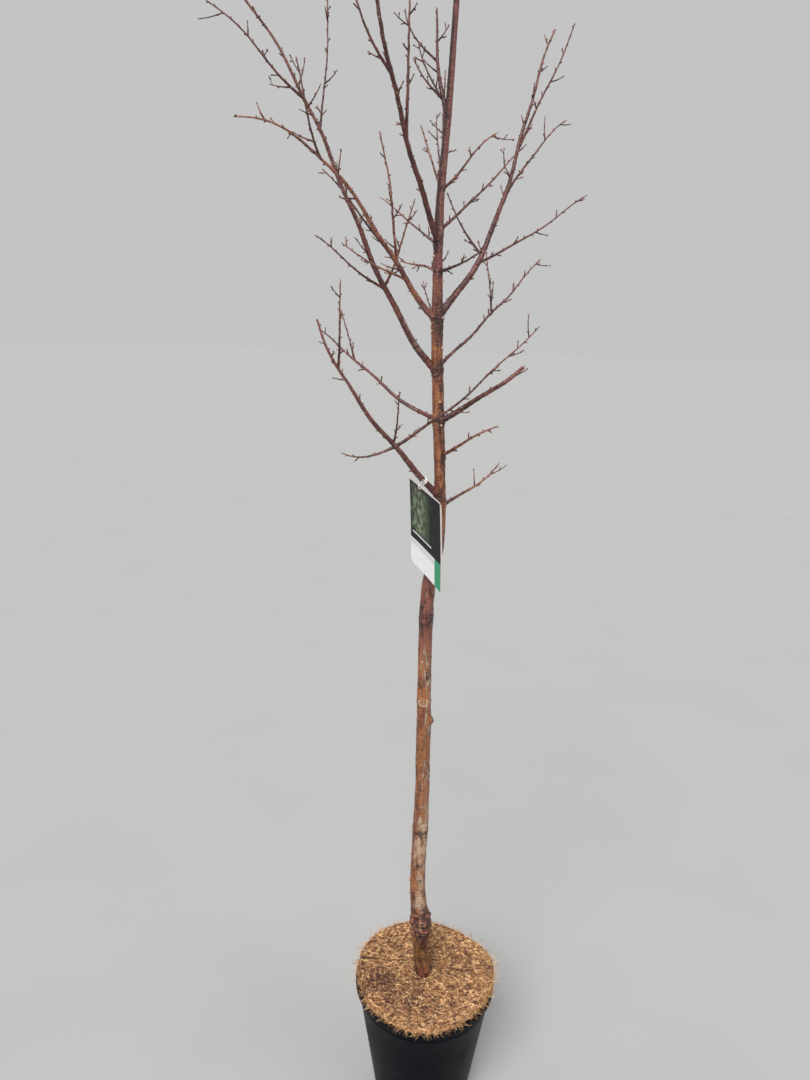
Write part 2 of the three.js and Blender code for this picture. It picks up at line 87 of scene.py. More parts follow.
class Paint:
    """One material and the nodes that make its finish."""

    def __init__(self, name: str) -> None:
        """Start a material with its shader ready.

        Args:
            name: the material's name.
        """
        self.material = bpy.data.materials.new(name)
        self.material.use_nodes = True
        self.tree = self.material.node_tree
        self.shader = self.tree.nodes["Principled BSDF"]

    def node(self, kind: str, output: str, settings: dict[str, Any], sockets: dict[str, Any]) -> Field:
        """Add a node, its settings first and then its sockets.

        Args:
            kind: the node's type.
            output: identifier of the output that is used.
            settings: the node's own settings.
            sockets: a value or a Field for each input, by identifier.

        Returns:
            The output's Field.
        """
        made = self.tree.nodes.new(kind)
        for key, value in settings.items():
            setattr(made, key, value)
        for key, value in sockets.items():
            self._feed(next(s for s in made.inputs if s.identifier == key), value)
        return Field(self, next(s for s in made.outputs if s.identifier == output))

    def _feed(self, socket: bpy.types.NodeSocket, value: Any) -> None:
        """Link a Field to a socket, or set the socket's own value.

        Args:
            socket: the input.
            value: the Field, number, vector or colour.
        """
        if isinstance(value, Field):
            self.tree.links.new(value.socket, socket)
        elif socket.type == "RGBA":
            socket.default_value = (*value, 1.0)
        else:
            socket.default_value = value

    def maths(self, operation: str, *values: "Field | float") -> Field:
        """A Math node of the values."""
        sockets = dict(zip(("Value", "Value_001"), values))
        return self.node("ShaderNodeMath", "Value", {"operation": operation}, sockets)

    def attribute(self, name: str, output: str = "Vector") -> Field:
        """A value or vector that the mesh carries."""
        return self.node("ShaderNodeAttribute", output, {"attribute_name": name}, {})

    def place(self) -> Field:
        """Object coordinates."""
        return self.node("ShaderNodeTexCoord", "Object", {}, {})

    def part(self, vector: Field, axis: str) -> Field:
        """One part of a vector."""
        return self.node("ShaderNodeSeparateXYZ", axis, {}, {"Vector": vector})

    def channel(self, colour: Field, name: str) -> Field:
        """One channel of a colour."""
        return self.node("ShaderNodeSeparateColor", name, {}, {"Color": colour})

    def stretch(self, vector: Field, by: Triple) -> Field:
        """A vector with each part multiplied."""
        sockets = {"Vector": vector, "Vector_001": by}
        return self.node("ShaderNodeVectorMath", "Vector", {"operation": "MULTIPLY"}, sockets)

    def noise(self, vector: Field, scale: float, detail: float = 3.0, rough: float = 0.55) -> Field:
        """Cloudy noise from 0 to 1."""
        sockets = {"Vector": vector, "Scale": scale, "Detail": detail, "Roughness": rough}
        return self.node("ShaderNodeTexNoise", "Fac", {}, sockets)

    def cells(self, vector: Field, scale: float) -> Field:
        """Distance to the nearest of scattered points, in cells."""
        return self.node("ShaderNodeTexVoronoi", "Distance", {}, {"Vector": vector, "Scale": scale})

    def dots(self, vector: Field, scale: float, inner: float, outer: float) -> Field:
        """Scattered round dots: 1 within one reach of their middles and 0 past another, in cells."""
        return 1 - self.step(self.cells(vector, scale), inner, outer)

    def step(self, value: Field, low: float, high: float) -> Field:
        """A smooth rise from 0 at one value to 1 at another."""
        sockets = {"Value": value, "From Min": low, "From Max": high}
        return self.node("ShaderNodeMapRange", "Result", {"interpolation_type": "SMOOTHSTEP"}, sockets)

    def band(self, value: Field, low: float, high: float, soft: float) -> Field:
        """1 between two values and 0 outside them, with soft edges."""
        return self.step(value, low - soft, low + soft) * (1 - self.step(value, high - soft, high + soft))

    def mix(self, below: "Field | Colour", above: "Field | Colour", factor: "Field | float") -> Field:
        """One colour over another by a factor."""
        sockets = {"A_Color": below, "B_Color": above, "Factor_Float": factor}
        return self.node("ShaderNodeMix", "Result_Color", {"data_type": "RGBA"}, sockets)

    def layers(self, first: "Field | Colour", *rows: "tuple[Field | Colour, Field | float]") -> Field:
        """Colours laid over a first one in their order, each by a factor."""
        return reduce(lambda below, row: self.mix(below, *row), rows, first)

    def relief(self, height: Field, distance: float) -> Field:
        """A normal bent by a height."""
        return self.node("ShaderNodeBump", "Normal", {}, {"Height": height, "Distance": distance})

    def finish(self, **sockets: Any) -> Material:
        """Feed the shader, its sockets named with low lines for spaces.

        Args:
            sockets: values or Fields of the shader's inputs.

        Returns:
            The finished material.
        """
        names = {s.identifier.replace(" ", "_").lower(): s for s in self.shader.inputs}
        for key, value in sockets.items():
            self._feed(names[key], value)
        return self.material


# Finishes


@dataclass(frozen=True)
class BarkFinish:
    """Thin shining bark: a warm ground with dark streaks, level lines and dashes, a broken grey film, and
    pale flecks that are partly painted glints.
    """

    name: str
    sunny: Colour
    shaded: Colour
    # film is also the colour of painted highlights and glints, where the film share is raised for them
    film: Colour = (0.60, 0.405, 0.300)
    dark: Colour = (0.046, 0.0125, 0.0105)
    olive: Colour = (0.165, 0.080, 0.026)
    warm: Colour = (0.172, 0.052, 0.046)
    # fleck is the colour of pale specks in the bark, used also for painted glints
    fleck_and_glint: Colour = (0.74, 0.55, 0.42)
    shade_share: float = 0.5
    fleck_and_glint_share: float = 0.4
    roughness: float = 0.37
    bump: float = 0.0008
    shine: float = 0.5

    def make(self) -> Material:
        """Make the material; it reads the mesh's grain and its shares of film, dark, olive and warm bark, the
        film share with painted highlights and the dark share with painted shade.

        Returns:
            The material.
        """
        paint = Paint(self.name)
        grain = paint.attribute("grain")
        shares = paint.attribute("shares", "Color")
        streaks = paint.noise(paint.stretch(grain, (1, 1, 0.09)), 250, 5, 0.62) - 0.5
        patches = paint.noise(paint.stretch(grain, (1, 1, 0.55)), 62, 5, 0.6) - 0.5
        mottle = paint.noise(grain, 210, 4, 0.65) - 0.5
        lines = paint.noise(paint.stretch(grain, (0.22, 0.22, 1)), 430, 4, 0.65) - 0.5
        fine = paint.noise(grain, 1500, 2) - 0.5
        dashes = paint.dots(paint.stretch(grain, (0.30, 0.30, 1)), 240, 0.10, 0.20)
        flecks_and_glints = paint.dots(paint.stretch(grain, (0.62, 0.62, 1)), 165, 0.07, 0.15)

        middle = (self.shade_share - 0.5) * 0.45
        shade = paint.step(patches * 1.5 + streaks * 1.3 + mottle * 0.5 + middle, -0.20, 0.20)
        cover = paint.channel(shares, "Red") + streaks * 1.2 + patches * 1.0 + mottle * 0.5 + lines * 0.2
        film_and_highlight = paint.step(cover, 0.36, 0.64)
        cover = paint.channel(shares, "Green") + lines * 0.3 + streaks * 1.0 + mottle * 0.35 + patches * 1.0
        dark_bark_and_shade = paint.step(cover, 0.30, 0.64)
        colour = paint.layers(
            self.sunny,
            (self.shaded, shade),
            (self.olive, paint.channel(shares, "Blue") * (mottle * 1.6 + 0.9)),
            (self.warm, paint.attribute("shares", "Alpha") * (mottle * 1.2 + 0.9)),
            (self.dark, paint.step(lines + patches * 0.7, 0.05, 0.26) * 0.38),
            # grey film, with painted highlights and glints
            (self.film, film_and_highlight * (0.80 - lines * 1.2)),
            # dark bark, and on the stem painted shade too
            (self.dark, dark_bark_and_shade * 0.86),
            (self.dark, dashes * 0.22),
            # pale flecks: partly specks of the bark, partly painted glints
            (self.fleck_and_glint, flecks_and_glints * self.fleck_and_glint_share * (1 - dark_bark_and_shade * 0.85)),
        )
        height = lines * 1.0 + streaks * 0.9 + mottle * 0.9 + fine * 0.2
        height = height + film_and_highlight * 0.35 - dark_bark_and_shade * 0.25 + flecks_and_glints * 0.5
        rough = streaks * 0.4 + fine * 0.25 + self.roughness + film_and_highlight * 0.14 - dark_bark_and_shade * 0.10
        return paint.finish(base_color=colour, roughness=rough, normal=paint.relief(height, self.bump),
                            specular_ior_level=self.shine)


@dataclass(frozen=True)
class SpeckledFinish:
    """A ground colour with soft specks of another; rough is the roughness and what the specks add to it.

    A finish with a bump has its relief from a finer noise where it has a bump scale, or else from its specks.
    """

    name: str
    ground: Colour
    specks: Colour
    scale: float = 700.0
    detail: float = 2.0
    edges: Pair = (0.45, 0.7)
    rough: Pair = (0.45, 0.2)
    bump: float = 0.0
    bump_scale: float = 0.0
    shine: float = 0.5

    def make(self) -> Material:
        """Make the material.

        Returns:
            The material.
        """
        paint = Paint(self.name)
        place = paint.place()
        speck = paint.noise(place, self.scale, self.detail)
        sockets = {"base_color": paint.mix(self.ground, self.specks, paint.step(speck, *self.edges))}
        least, more = self.rough
        sockets["roughness"] = least + speck * more if more else least
        if self.bump:
            height = paint.noise(place, self.bump_scale, 2) if self.bump_scale else speck
            sockets["normal"] = paint.relief(height, self.bump)
        return paint.finish(**sockets, specular_ior_level=self.shine)


@dataclass(frozen=True)
class PotFinish:
    """Blow-moulded black plastic: soft grey shine, fine dust and rubbed places."""

    name: str = "pot_black_plastic"
    black: Colour = (0.0020, 0.0026, 0.0048)
    dusty: Colour = (0.0085, 0.0095, 0.0130)
    rubbed: Colour = (0.045, 0.046, 0.052)
    gritty: Colour = (0.15, 0.13, 0.11)
    bump: float = 0.0007
    shine: float = 0.06

    def make(self) -> Material:
        """Make the material.

        Returns:
            The material.
        """
        paint = Paint(self.name)
        place = paint.place()
        height = paint.part(place, "Z")
        cloud = paint.noise(place, 14, 5, 0.6)
        grit = paint.noise(place, 900, 3)
        streaks = paint.noise(paint.stretch(place, (1, 1, 0.08)), 120, 4, 0.65)
        rubs = paint.noise(paint.stretch(place, (0.15, 0.15, 1)), 160, 3, 0.7)
        dust = paint.step(cloud + (streaks - 0.5) * 0.5, 0.48, 0.78)
        splash = 1 - paint.step(height + (cloud - 0.5) * 0.06, 0.01, 0.06)
        rubbed, gritty = paint.step(rubs, 0.62, 0.72) * 0.35, paint.step(grit, 0.72, 0.79) * 0.4
        colour = paint.layers(self.black, (self.dusty, dust * 0.55), (self.dusty, splash * 0.5),
                              (self.rubbed, rubbed), (self.gritty, gritty))
        rough = 0.40 + dust * 0.18 + (grit - 0.5) * 0.22 + splash * 0.15
        normal = paint.relief(grit * 0.5 + cloud * 3.0 + rubs * 0.3, self.bump)
        return paint.finish(base_color=colour, roughness=rough, normal=normal, specular_ior_level=self.shine)


@dataclass(frozen=True)
class CompostFinish:
    """Damp peat and bark crumbs."""

    name: str = "compost_crumbs"
    damp: Colour = (0.020, 0.012, 0.008)
    dry: Colour = (0.075, 0.042, 0.024)
    chip: Colour = (0.19, 0.115, 0.06)
    bump: float = 0.002

    def make(self) -> Material:
        """Make the material.

        Returns:
            The material.
        """
        paint = Paint(self.name)
        place = paint.place()
        lumps = paint.noise(place, 170, 4, 0.65)
        chips = paint.cells(place, 260)
        colour = paint.layers(self.damp, (self.dry, paint.step(lumps, 0.35, 0.7)),
                              (self.chip, (1 - paint.step(chips, 0.12, 0.3)) * 0.5))
        normal = paint.relief(lumps + (1 - chips) * 0.6, self.bump)
        return paint.finish(base_color=colour, roughness=0.8 + lumps * 0.18, normal=normal)


@dataclass(frozen=True)
class CoirFinish:
    """Matted coir seen between the loose fibres: tangled lines with dark blotches in places."""

    name: str = "coir_felt"
    gold: Colour = (0.430, 0.220, 0.088)
    # brown is the felt's own colour, darkened to paint shade in the gaps between loose fibres
    brown: Colour = (0.130, 0.052, 0.026)
    shadow: Colour = (0.026, 0.011, 0.008)
    blotch: Colour = (0.130, 0.060, 0.055)
    # depth paints shade in the slit and round the hole
    depth: Colour = (0.016, 0.0075, 0.0055)
    bump: float = 0.0022

    def make(self) -> Material:
        """Make the material; it reads the mesh's shares, which are blotch, gold and depth, the last painted
        shade deep in the slit and round the hole.

        Returns:
            The material.
        """
        paint = Paint(self.name)
        place = paint.place()
        shares = paint.attribute("shares", "Color")
        swirl = self._tangle(paint, place)
        lumps = paint.noise(place, 60, 4, 0.6)
        colour = paint.layers(
            self.brown,
            (self.gold, paint.step(swirl + (lumps - 0.5) * 0.6, 0.3, 0.62)),
            (self.gold, paint.channel(shares, "Green") * 0.35),
            (self.blotch, paint.channel(shares, "Red") * 0.75),
            (self.shadow, (1 - paint.step(swirl, 0.18, 0.42)) * 0.75),
            # painted shade in the slit and round the hole
            (self.depth, paint.channel(shares, "Blue") * 0.95),
        )
        normal = paint.relief(swirl * 1.2 + lumps * 0.5, self.bump)
        return paint.finish(base_color=colour, roughness=0.82 + (lumps - 0.5) * 0.2, normal=normal)

    @staticmethod
    def _tangle(paint: Paint, place: Field) -> Field:
        """Crossing lines of fibre in three directions, the topmost kept.

        Args:
            paint: the material.
            place: object coordinates.

        Returns:
            Height of the tangle from 0 to 1.
        """
        sets = []
        for turn, scale in ((0.3, 520), (1.4, 470), (2.4, 560)):
            sockets = {"Vector": place, "Angle": turn}
            turned = paint.node("ShaderNodeVectorRotate", "Vector", {"rotation_type": "Z_AXIS"}, sockets)
            sets.append(paint.noise(paint.stretch(turned, (0.16, 1, 1)), scale, 3, 0.6))
        return sets[0] | sets[1] | sets[2]


@dataclass(frozen=True)
class CardFinish:
    """Printed card of plain areas of colour: a black field, a white panel and a green strip."""

    name: str = "card_print"
    black: Colour = (0.0070, 0.0080, 0.0072)
    leafy: Colour = (0.120, 0.165, 0.085)
    white: Colour = (0.86, 0.86, 0.855)
    green: Colour = (0.042, 0.305, 0.155)
    border: Colour = (0.74, 0.64, 0.62)
    pale_leaf: Colour = (0.330, 0.385, 0.250)
    # grey paints shade along the top of the white panel
    grey: Colour = (0.50, 0.51, 0.52)
    back: Colour = (0.60, 0.59, 0.56)
    back_shade: Colour = (0.46, 0.45, 0.42)
    soil: Colour = (0.42, 0.39, 0.35)
    bump: float = 0.0005
    shine: float = 0.07

    def make(self) -> Material:
        """Make the material; it reads the mesh's card place: across, down, and 1 on the front.

        Returns:
            The material.
        """
        paint = Paint(self.name)
        sheet = paint.attribute("card")
        across, down, front = (paint.part(sheet, axis) for axis in "XYZ")
        mottle = paint.noise(sheet, 11, 4, 0.6)
        speck = paint.noise(sheet, 46, 3, 0.7)
        leaves = paint.band(across + (mottle - 0.5) * 0.3, 0.06, 0.60, 0.07)
        leaves = leaves * paint.band(down, 0.06, 0.58, 0.04)
        lines = paint.band(down, 0.595, 0.613, 0.002) * paint.band(across, 0.07, 0.67, 0.003)
        light = paint.step(mottle + (speck - 0.5) * 0.5, 0.40, 0.70)
        panel = paint.step(down, 0.688, 0.692)
        front_print = paint.layers(
            self.black,
            (self.leafy, leaves * (0.25 + light * 0.75)),
            (self.pale_leaf, paint.band(across, 0.10, 0.45, 0.08) * leaves * light * 0.75),
            (self.white, lines * 0.85),
            (self.white, panel),
            # painted shade along the top of the white panel
            (self.grey, paint.band(down, 0.70, 0.76, 0.02) * panel * 0.55),
            (self.green, paint.step(across, 0.768, 0.772) * panel),
            (self.border, paint.step(across, 0.963, 0.968) | (1 - paint.step(down, 0.010, 0.016))),
        )
        colour = paint.layers(self.back, (self.back_shade, paint.step(mottle, 0.35, 0.75)),
                              (front_print, front), (self.soil, paint.step(speck, 0.69, 0.80) * 0.28))
        rough = 0.42 + (mottle - 0.5) * 0.2 + paint.step(speck, 0.6, 0.8) * 0.25
        normal = paint.relief(mottle * 2.0 + speck * 0.2, self.bump)
        return paint.finish(base_color=colour, roughness=rough, normal=normal, specular_ior_level=self.shine)


def bud_finish(name: str, ground: Colour, pale: Colour) -> SpeckledFinish:
    """Bud scales: a ground colour that pales towards the tips of the scales."""
    return SpeckledFinish(name, ground, pale, bump=0.0006, bump_scale=1500)


def fibre_finish(name: str, light: Colour, deep: Colour) -> SpeckledFinish:
    """Loose coir fibres of one colour, lighter and darker along their length."""
    return SpeckledFinish(name, deep, light, 150, 3, (0.40, 0.60), (0.62, 0.2))


TIE_FINISH = SpeckledFinish("tie_white_plastic", (0.80, 0.79, 0.75), (0.52, 0.46, 0.38), 420, 3, (0.5, 0.78),
                            (0.38, 0.25), bump=0.0004)
FLOOR_FINISH = SpeckledFinish("floor_pale", (0.378, 0.377, 0.374), (0.370, 0.369, 0.366), 2.5, 4, (0.4, 0.7),
                              (0.9, 0), shine=0.0)


# Numbers


class SoftNoise:
    """Smooth seeded noise between about -1 and 1, read in many places at once."""

    SIZE = 32

    def __init__(self, seed: int) -> None:
        """Fill the lattice from the seed."""
        shape = (self.SIZE, self.SIZE, self.SIZE)
        self.table = np.random.default_rng(seed).uniform(-1.4, 1.4, shape)

    def at(self, x: Array, y: Array, z: Array) -> Array:
        """Noise at places given in cells.

        Args:
            x: first coordinate.
            y: second coordinate.
            z: third coordinate.

        Returns:
            The noise, of the coordinates' joint shape.
        """
        cells, parts = [], []
        for value in (x, y, z):
            cell = np.floor(value).astype(int)
            part = value - cell
            cells.append((cell % self.SIZE, (cell + 1) % self.SIZE))
            parts.append((1 - part * part * (3 - 2 * part), part * part * (3 - 2 * part)))
        total = 0.0
        for i, j, k in np.ndindex(2, 2, 2):
            share = parts[0][i] * parts[1][j] * parts[2][k]
            total = total + share * self.table[cells[0][i], cells[1][j], cells[2][k]]
        return total


class Draws:
    """Seeded generator, the same as the source's, with the same numbers in every run."""

    def __init__(self, seed: int) -> None:
        """Start from a seed."""
        self.seed = seed

    def next(self) -> float:
        """The next number between 0 and 1."""
        self.seed = (self.seed * 16807) % 2147483647
        return self.seed / 2147483647


def curve(t: Array, start: Array, lead: Array, end: Array, end_lead: Array) -> Array:
    """A smooth way from one value to another, at shares of it, that leaves and arrives along two leads."""
    return ((2 * t**3 - 3 * t**2 + 1) * start + (t**3 - 2 * t**2 + t) * lead
            + (3 * t**2 - 2 * t**3) * end + (t**3 - t**2) * end_lead)


def read_smooth(rows: Rows, places: Array) -> Array:
    """Read a table as a smooth curve through its rows, as the source does.

    Args:
        rows: place and value.
        places: where it is read.

    Returns:
        The values there.
    """
    table = np.array(rows, float)
    place, value = table[:, 0], table[:, 1]
    last = len(rows) - 1
    i = np.clip(np.searchsorted(place, places, side="left"), 1, last)
    back, ahead = np.maximum(i - 2, 0), np.minimum(i + 1, last)
    width = place[i] - place[i - 1]
    slope0 = (value[i] - value[back]) / (place[i] - place[back]) * width
    slope1 = (value[ahead] - value[i - 1]) / (place[ahead] - place[i - 1]) * width
    return curve((places - place[i - 1]) / width, value[i - 1], slope0, value[i], slope1)


def unit(vectors: Array) -> Array:
    """Vectors brought to a length of 1."""
    return vectors / np.linalg.norm(vectors, axis=-1, keepdims=True)


def squared_off(across: Array, ahead: Array) -> tuple[Array, Array]:
    """Two directions at right angles to the one ahead: one about where across points, and the one over it."""
    level = unit(across - ahead * np.sum(across * ahead, axis=-1, keepdims=True))
    return level, np.cross(ahead, level)


def towards(bearing: float) -> Array:
    """Level direction at a bearing in degrees."""
    turn = math.radians(bearing)
    return np.array([math.cos(turn), math.sin(turn), 0.0])


def held(values: Array) -> Array:
    """Values held between 0 and 1."""
    return np.clip(values, 0, 1)


def hump(values: Array) -> Array:
    """A soft hump: 1 at 0, and fallen to about a third at 1 on either side."""
    return np.exp(-(values**2))


def plateau(values: Array) -> Array:
    """A hump with a flatter top and steeper sides."""
    return np.exp(-(values**4))


def dab(x: Array, y: Array, at_x: float, at_y: float, size: float) -> Array:
    """A soft round hump about one place."""
    return hump(np.hypot(x - at_x, y - at_y) / size)


# Meshes


class Form:
    """Corners and faces of a small shape that is set in meshes many times."""

    def __init__(self, shape: Shape) -> None:
        """Read the shape.

        Args:
            shape: the shape, which is used up.
        """
        shape.verts.index_update()
        self.spots = np.array([v.co for v in shape.verts])
        self.corners = np.array([v.index for f in shape.faces for v in f.verts])
        self.totals = np.array([len(f.verts) for f in shape.faces])
        shape.free()


class TubeShape(Form):
    """A closed unit tube of so many sides and spans, made once and laid along many limbs."""

    def __init__(self, sides: int, spans: int) -> None:
        """Make the tube with its ring and side numbers.

        Args:
            sides: faces round it.
            spans: lengths between its rings.
        """
        tube = bmesh.new()
        bmesh.ops.create_cone(tube, cap_ends=True, segments=sides, radius1=1.0, radius2=1.0, depth=1.0)
        upright = [e for e in tube.edges if abs(e.verts[0].co.z - e.verts[1].co.z) > 0.5]
        bmesh.ops.subdivide_edges(tube, edges=upright, cuts=spans - 1)
        super().__init__(tube)
        angles = np.arctan2(self.spots[:, 1], self.spots[:, 0])
        self.ring = np.rint((self.spots[:, 2] + 0.5) * spans).astype(int)
        self.side = np.rint((angles - angles[0]) / (TURN / sides)).astype(int) % sides
        self.angle = (self.side * TURN / sides)[:, None]

    def laid(self, middles: Array, reach: Array, across: Array, over: Array) -> Array:
        """Lay the tube along a line.

        Args:
            middles: middle of each ring.
            reach: radius of each ring, or a row of radii for each.
            across: direction of each ring's first side.
            over: direction a quarter turn on.

        Returns:
            Its corners.
        """
        ring = self.ring
        reach = (reach[ring] if reach.ndim == 1 else reach[ring, self.side])[:, None]
        return middles[ring] + reach * (np.cos(self.angle) * across[ring] + np.sin(self.angle) * over[ring])


@cache
def tube_of(sides: int, spans: int) -> TubeShape:
    """The tube of so many sides and spans, made only once."""
    return TubeShape(sides, spans)


@dataclass
class Joined:
    """Shapes gathered into one mesh, with what each carries for its finish."""

    rows: list[tuple[Array, ...]] = field(default_factory=list)
    count: int = 0

    def add(self, form: Form, spots: Array, slot: int = 0, grain: Array | None = None,
            shares: Array | None = None) -> None:
        """Add one shape.

        Args:
            form: its faces.
            spots: its corners in millimetres.
            slot: number of its material.
            grain: place on the bark of each corner.
            shares: shares of the finish's colours at each corner.
        """
        grain = spots if grain is None else grain
        shares = np.zeros((len(spots), 4)) if shares is None else shares
        slots = np.full(len(form.totals), slot)
        self.rows.append((spots, form.corners + self.count, form.totals, slots, grain, shares))
        self.count += len(spots)

    def build(self, name: str, finishes: list[Material]) -> Piece:
        """Make the mesh and its object.

        Args:
            name: the piece's name.
            finishes: its materials, by slot.

        Returns:
            The piece.
        """
        mesh = bpy.data.meshes.new(name)
        spots, corners, totals, slots, grain, shares = (np.concatenate(part) for part in zip(*self.rows))
        mesh.vertices.add(len(spots))
        mesh.vertices.foreach_set("co", (spots * MM).astype(np.float32).ravel())
        mesh.loops.add(len(corners))
        mesh.loops.foreach_set("vertex_index", corners.astype(np.int32))
        mesh.polygons.add(len(totals))
        mesh.polygons.foreach_set("loop_start", (np.cumsum(totals) - totals).astype(np.int32))
        mesh.update(calc_edges=True)
        mesh.polygons.foreach_set("material_index", slots.astype(np.int32))
        carry(mesh, "grain", grain * MM)
        carry(mesh, "shares", shares)
        return set_out(mesh, finishes)


def carry(mesh: bpy.types.Mesh, name: str, values: Array) -> None:
    """Store a vector or a colour with its fourth channel for each vertex of a mesh."""
    kind, key = ("FLOAT_COLOR", "color") if values.shape[1] == 4 else ("FLOAT_VECTOR", "vector")
    mesh.attributes.new(name, kind, "POINT").data.foreach_set(key, values.astype(np.float32).ravel())


def set_out(mesh: bpy.types.Mesh, finishes: list[Material]) -> Piece:
    """Smooth and dress a mesh, and put it in the scene as a piece of its own name.

    Args:
        mesh: the mesh.
        finishes: its materials, by slot.

    Returns:
        The piece.
    """
    mesh.polygons.foreach_set("use_smooth", np.ones(len(mesh.polygons), bool))
    mesh.update()
    for finish in finishes:
        mesh.materials.append(finish)
    piece = bpy.data.objects.new(mesh.name, mesh)
    bpy.context.scene.collection.objects.link(piece)
    return piece


def piece_of(shape: Shape, name: str, finish: Material) -> Piece:
    """Turn a finished bmesh in millimetres into a piece in metres.

    Args:
        shape: the bmesh, which is used up.
        name: the piece's name.
        finish: its material.

    Returns:
        The piece.
    """
    bmesh.ops.scale(shape, vec=(MM, MM, MM), verts=shape.verts)
    mesh = bpy.data.meshes.new(name)
    shape.to_mesh(mesh)
    shape.free()
    return set_out(mesh, [finish])


def hand_over(piece: Piece, slot: str, *nodes: str) -> None:
    """Let a piece ride on the tree's one body, and stand for the nodes that it replaces.

    Args:
        piece: the piece.
        slot: the record's material slot; it is not used.
        nodes: names of the nodes.
    """
    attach(piece, "root")
    if nodes:
        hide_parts(*nodes)
    piece.data.calc_loop_triangles()
    log.info("%s: %d triangles", piece.name, len(piece.data.loop_triangles))


# The limbs' rule


@dataclass(frozen=True)
class Limb:
    """One limb in millimetres and degrees.

    start is its height on the stem, or its distance along the limb that it leaves. rise is its slope above
    level at its root, middle and tip, and thick its diameter at the root and tip. A bough has a fork, past
    which its mass of twigs carries it on.
    """

    start: float
    bearing: float
    rise: Triple
    length: float
    thick: Pair
    fork: float = 0.0


BOUGHS: dict[str, Limb] = {
    "low_left": Limb(1262, 205, (48, 50, 70), 360, (11.5, 3), fork=116),
    "low_right": Limb(1246, 40, (14, 22, 34), 150, (6.6, 2.6), fork=60),
    "mid_right": Limb(1389, 340, (27, 35, 40), 166, (9.4, 5.8), fork=120),
    "mid_left": Limb(1391, 145, (13, 32, 26), 290, (8.4, 2.4), fork=110),
    "long_left": Limb(1468, 190, (48, 66, 38), 660, (11, 2.2), fork=148),
    "rear_right": Limb(1474, 50, (30, 32, 36), 340, (6, 2), fork=140),
    "high_left": Limb(1549, 215, (38, 47, -6), 430, (10.4, 2), fork=80),
    "high_right": Limb(1555, 30, (38, 72, 66), 480, (11.5, 2.6), fork=106),
    "second_leader": Limb(1666, 242, (44, 60, 76), 560, (9.4, 2.4), fork=164),
    "rear_low": Limb(1424, 89, (46, 58, 66), 300, (7.4, 2), fork=120),
    "rear_high": Limb(1640, 88, (50, 64, 72), 340, (7, 2), fork=130),
}

STEM_SHOOTS: dict[str, Limb] = {
    "fore_right": Limb(1332, 325, (30, 30, 28), 122, (6, 2.4)),
    "back_left": Limb(1619, 120, (22, 10, 6), 120, (5, 2)),
    "front_right": Limb(1621, 300, (16, 8, 28), 120, (5, 2.2)),
    "thin_left": Limb(1660, 150, (32, 38, 24), 130, (4, 1.8)),
    "upper_right": Limb(1683, 20, (30, 46, 40), 172, (5.2, 2)),
    "top_left": Limb(1742, 130, (50, 66, 58), 106, (4.4, 2)),
    "top_right": Limb(1741, 340, (28, 48, 28), 112, (4.4, 2)),
    "left_leader": Limb(1838, 165, (74, 82, 86), 146, (7.6, 2.6)),
    "crown_front": Limb(1990, 285, (52, 62, 70), 120, (4, 1.8)),
    "crown_right": Limb(2060, 25, (50, 62, 70), 130, (3.8, 1.8)),
    "crown_left": Limb(2130, 170, (50, 64, 72), 110, (3.6, 1.8)),
}

SIDE_SHOOTS: dict[str, tuple[Limb, ...]] = {
    "low_left": (
        Limb(124, 355, (30, 43, 46), 288, (5.2, 1.8)),
        Limb(124, 196, (-24, -6, 22), 92, (4.6, 1.8)),
        Limb(130, 330, (74, 82, 84), 84, (3.4, 1.8)),
        Limb(282, 290, (78, 86, 84), 128, (4, 1.8)),
    ),
    "mid_left": (Limb(200, 112, (40, 48, 52), 110, (3.6, 1.8)),),
    "long_left": (
        Limb(154, 200, (26, 36, 30), 132, (4.2, 1.8)),
        Limb(158, 322, (56, 66, 74), 134, (4, 1.8)),
        Limb(395, 60, (74, 84, 88), 176, (3.2, 1.8)),
        Limb(440, 205, (34, 42, 26), 168, (4, 1.8)),
    ),
    "rear_right": (Limb(170, 95, (44, 52, 56), 130, (3.6, 1.8)),),
    "high_left": (
        Limb(86, 200, (24, 24, 30), 112, (3.8, 1.8)),
        Limb(114, 225, (84, 78, 72), 178, (4.6, 1.8)),
        Limb(130, 196, (50, 48, 42), 150, (4.4, 1.8)),
        Limb(300, 240, (56, 66, 70), 120, (3.4, 1.8)),
    ),
    "high_right": (
        Limb(112, 10, (18, 34, 32), 202, (4.4, 1.8)),
        Limb(124, 200, (50, 54, 60), 108, (3.8, 1.8)),
        Limb(200, 36, (58, 48, 34), 200, (4.4, 1.8)),
        Limb(296, 350, (62, 66, 68), 186, (4, 1.8)),
    ),
    "second_leader": (
        Limb(170, 272, (76, 86, 92), 176, (5, 2.2)),
        Limb(250, 200, (52, 62, 70), 140, (4, 1.8)),
        Limb(340, 285, (52, 64, 70), 150, (4, 1.8)),
        Limb(440, 170, (52, 64, 70), 110, (3.6, 1.8)),
    ),
    "rear_low": (Limb(126, 112, (40, 50, 56), 120, (4, 1.8)),),
    "rear_high": (Limb(136, 96, (44, 56, 62), 150, (4, 1.8)),),
    "left_leader": (
        Limb(24, 165, (52, 64, 70), 86, (3.6, 1.8)),
        Limb(26, 205, (36, 44, 58), 70, (3.4, 1.8)),
        Limb(78, 180, (40, 52, 80), 84, (3.4, 1.8)),
    ),
}

ON_STEM: dict[str, Limb] = {**BOUGHS, **STEM_SHOOTS}


@dataclass(frozen=True)
class TwigRule:
    """How twigs stand along a limb, in millimetres and degrees."""

    seed: int
    first: float
    spacing: float
    last: float
    lean: float
    lift: float
    shortest: float
    longest: float
    skew: float
    thick: Pair
    share: float
    clearance: float


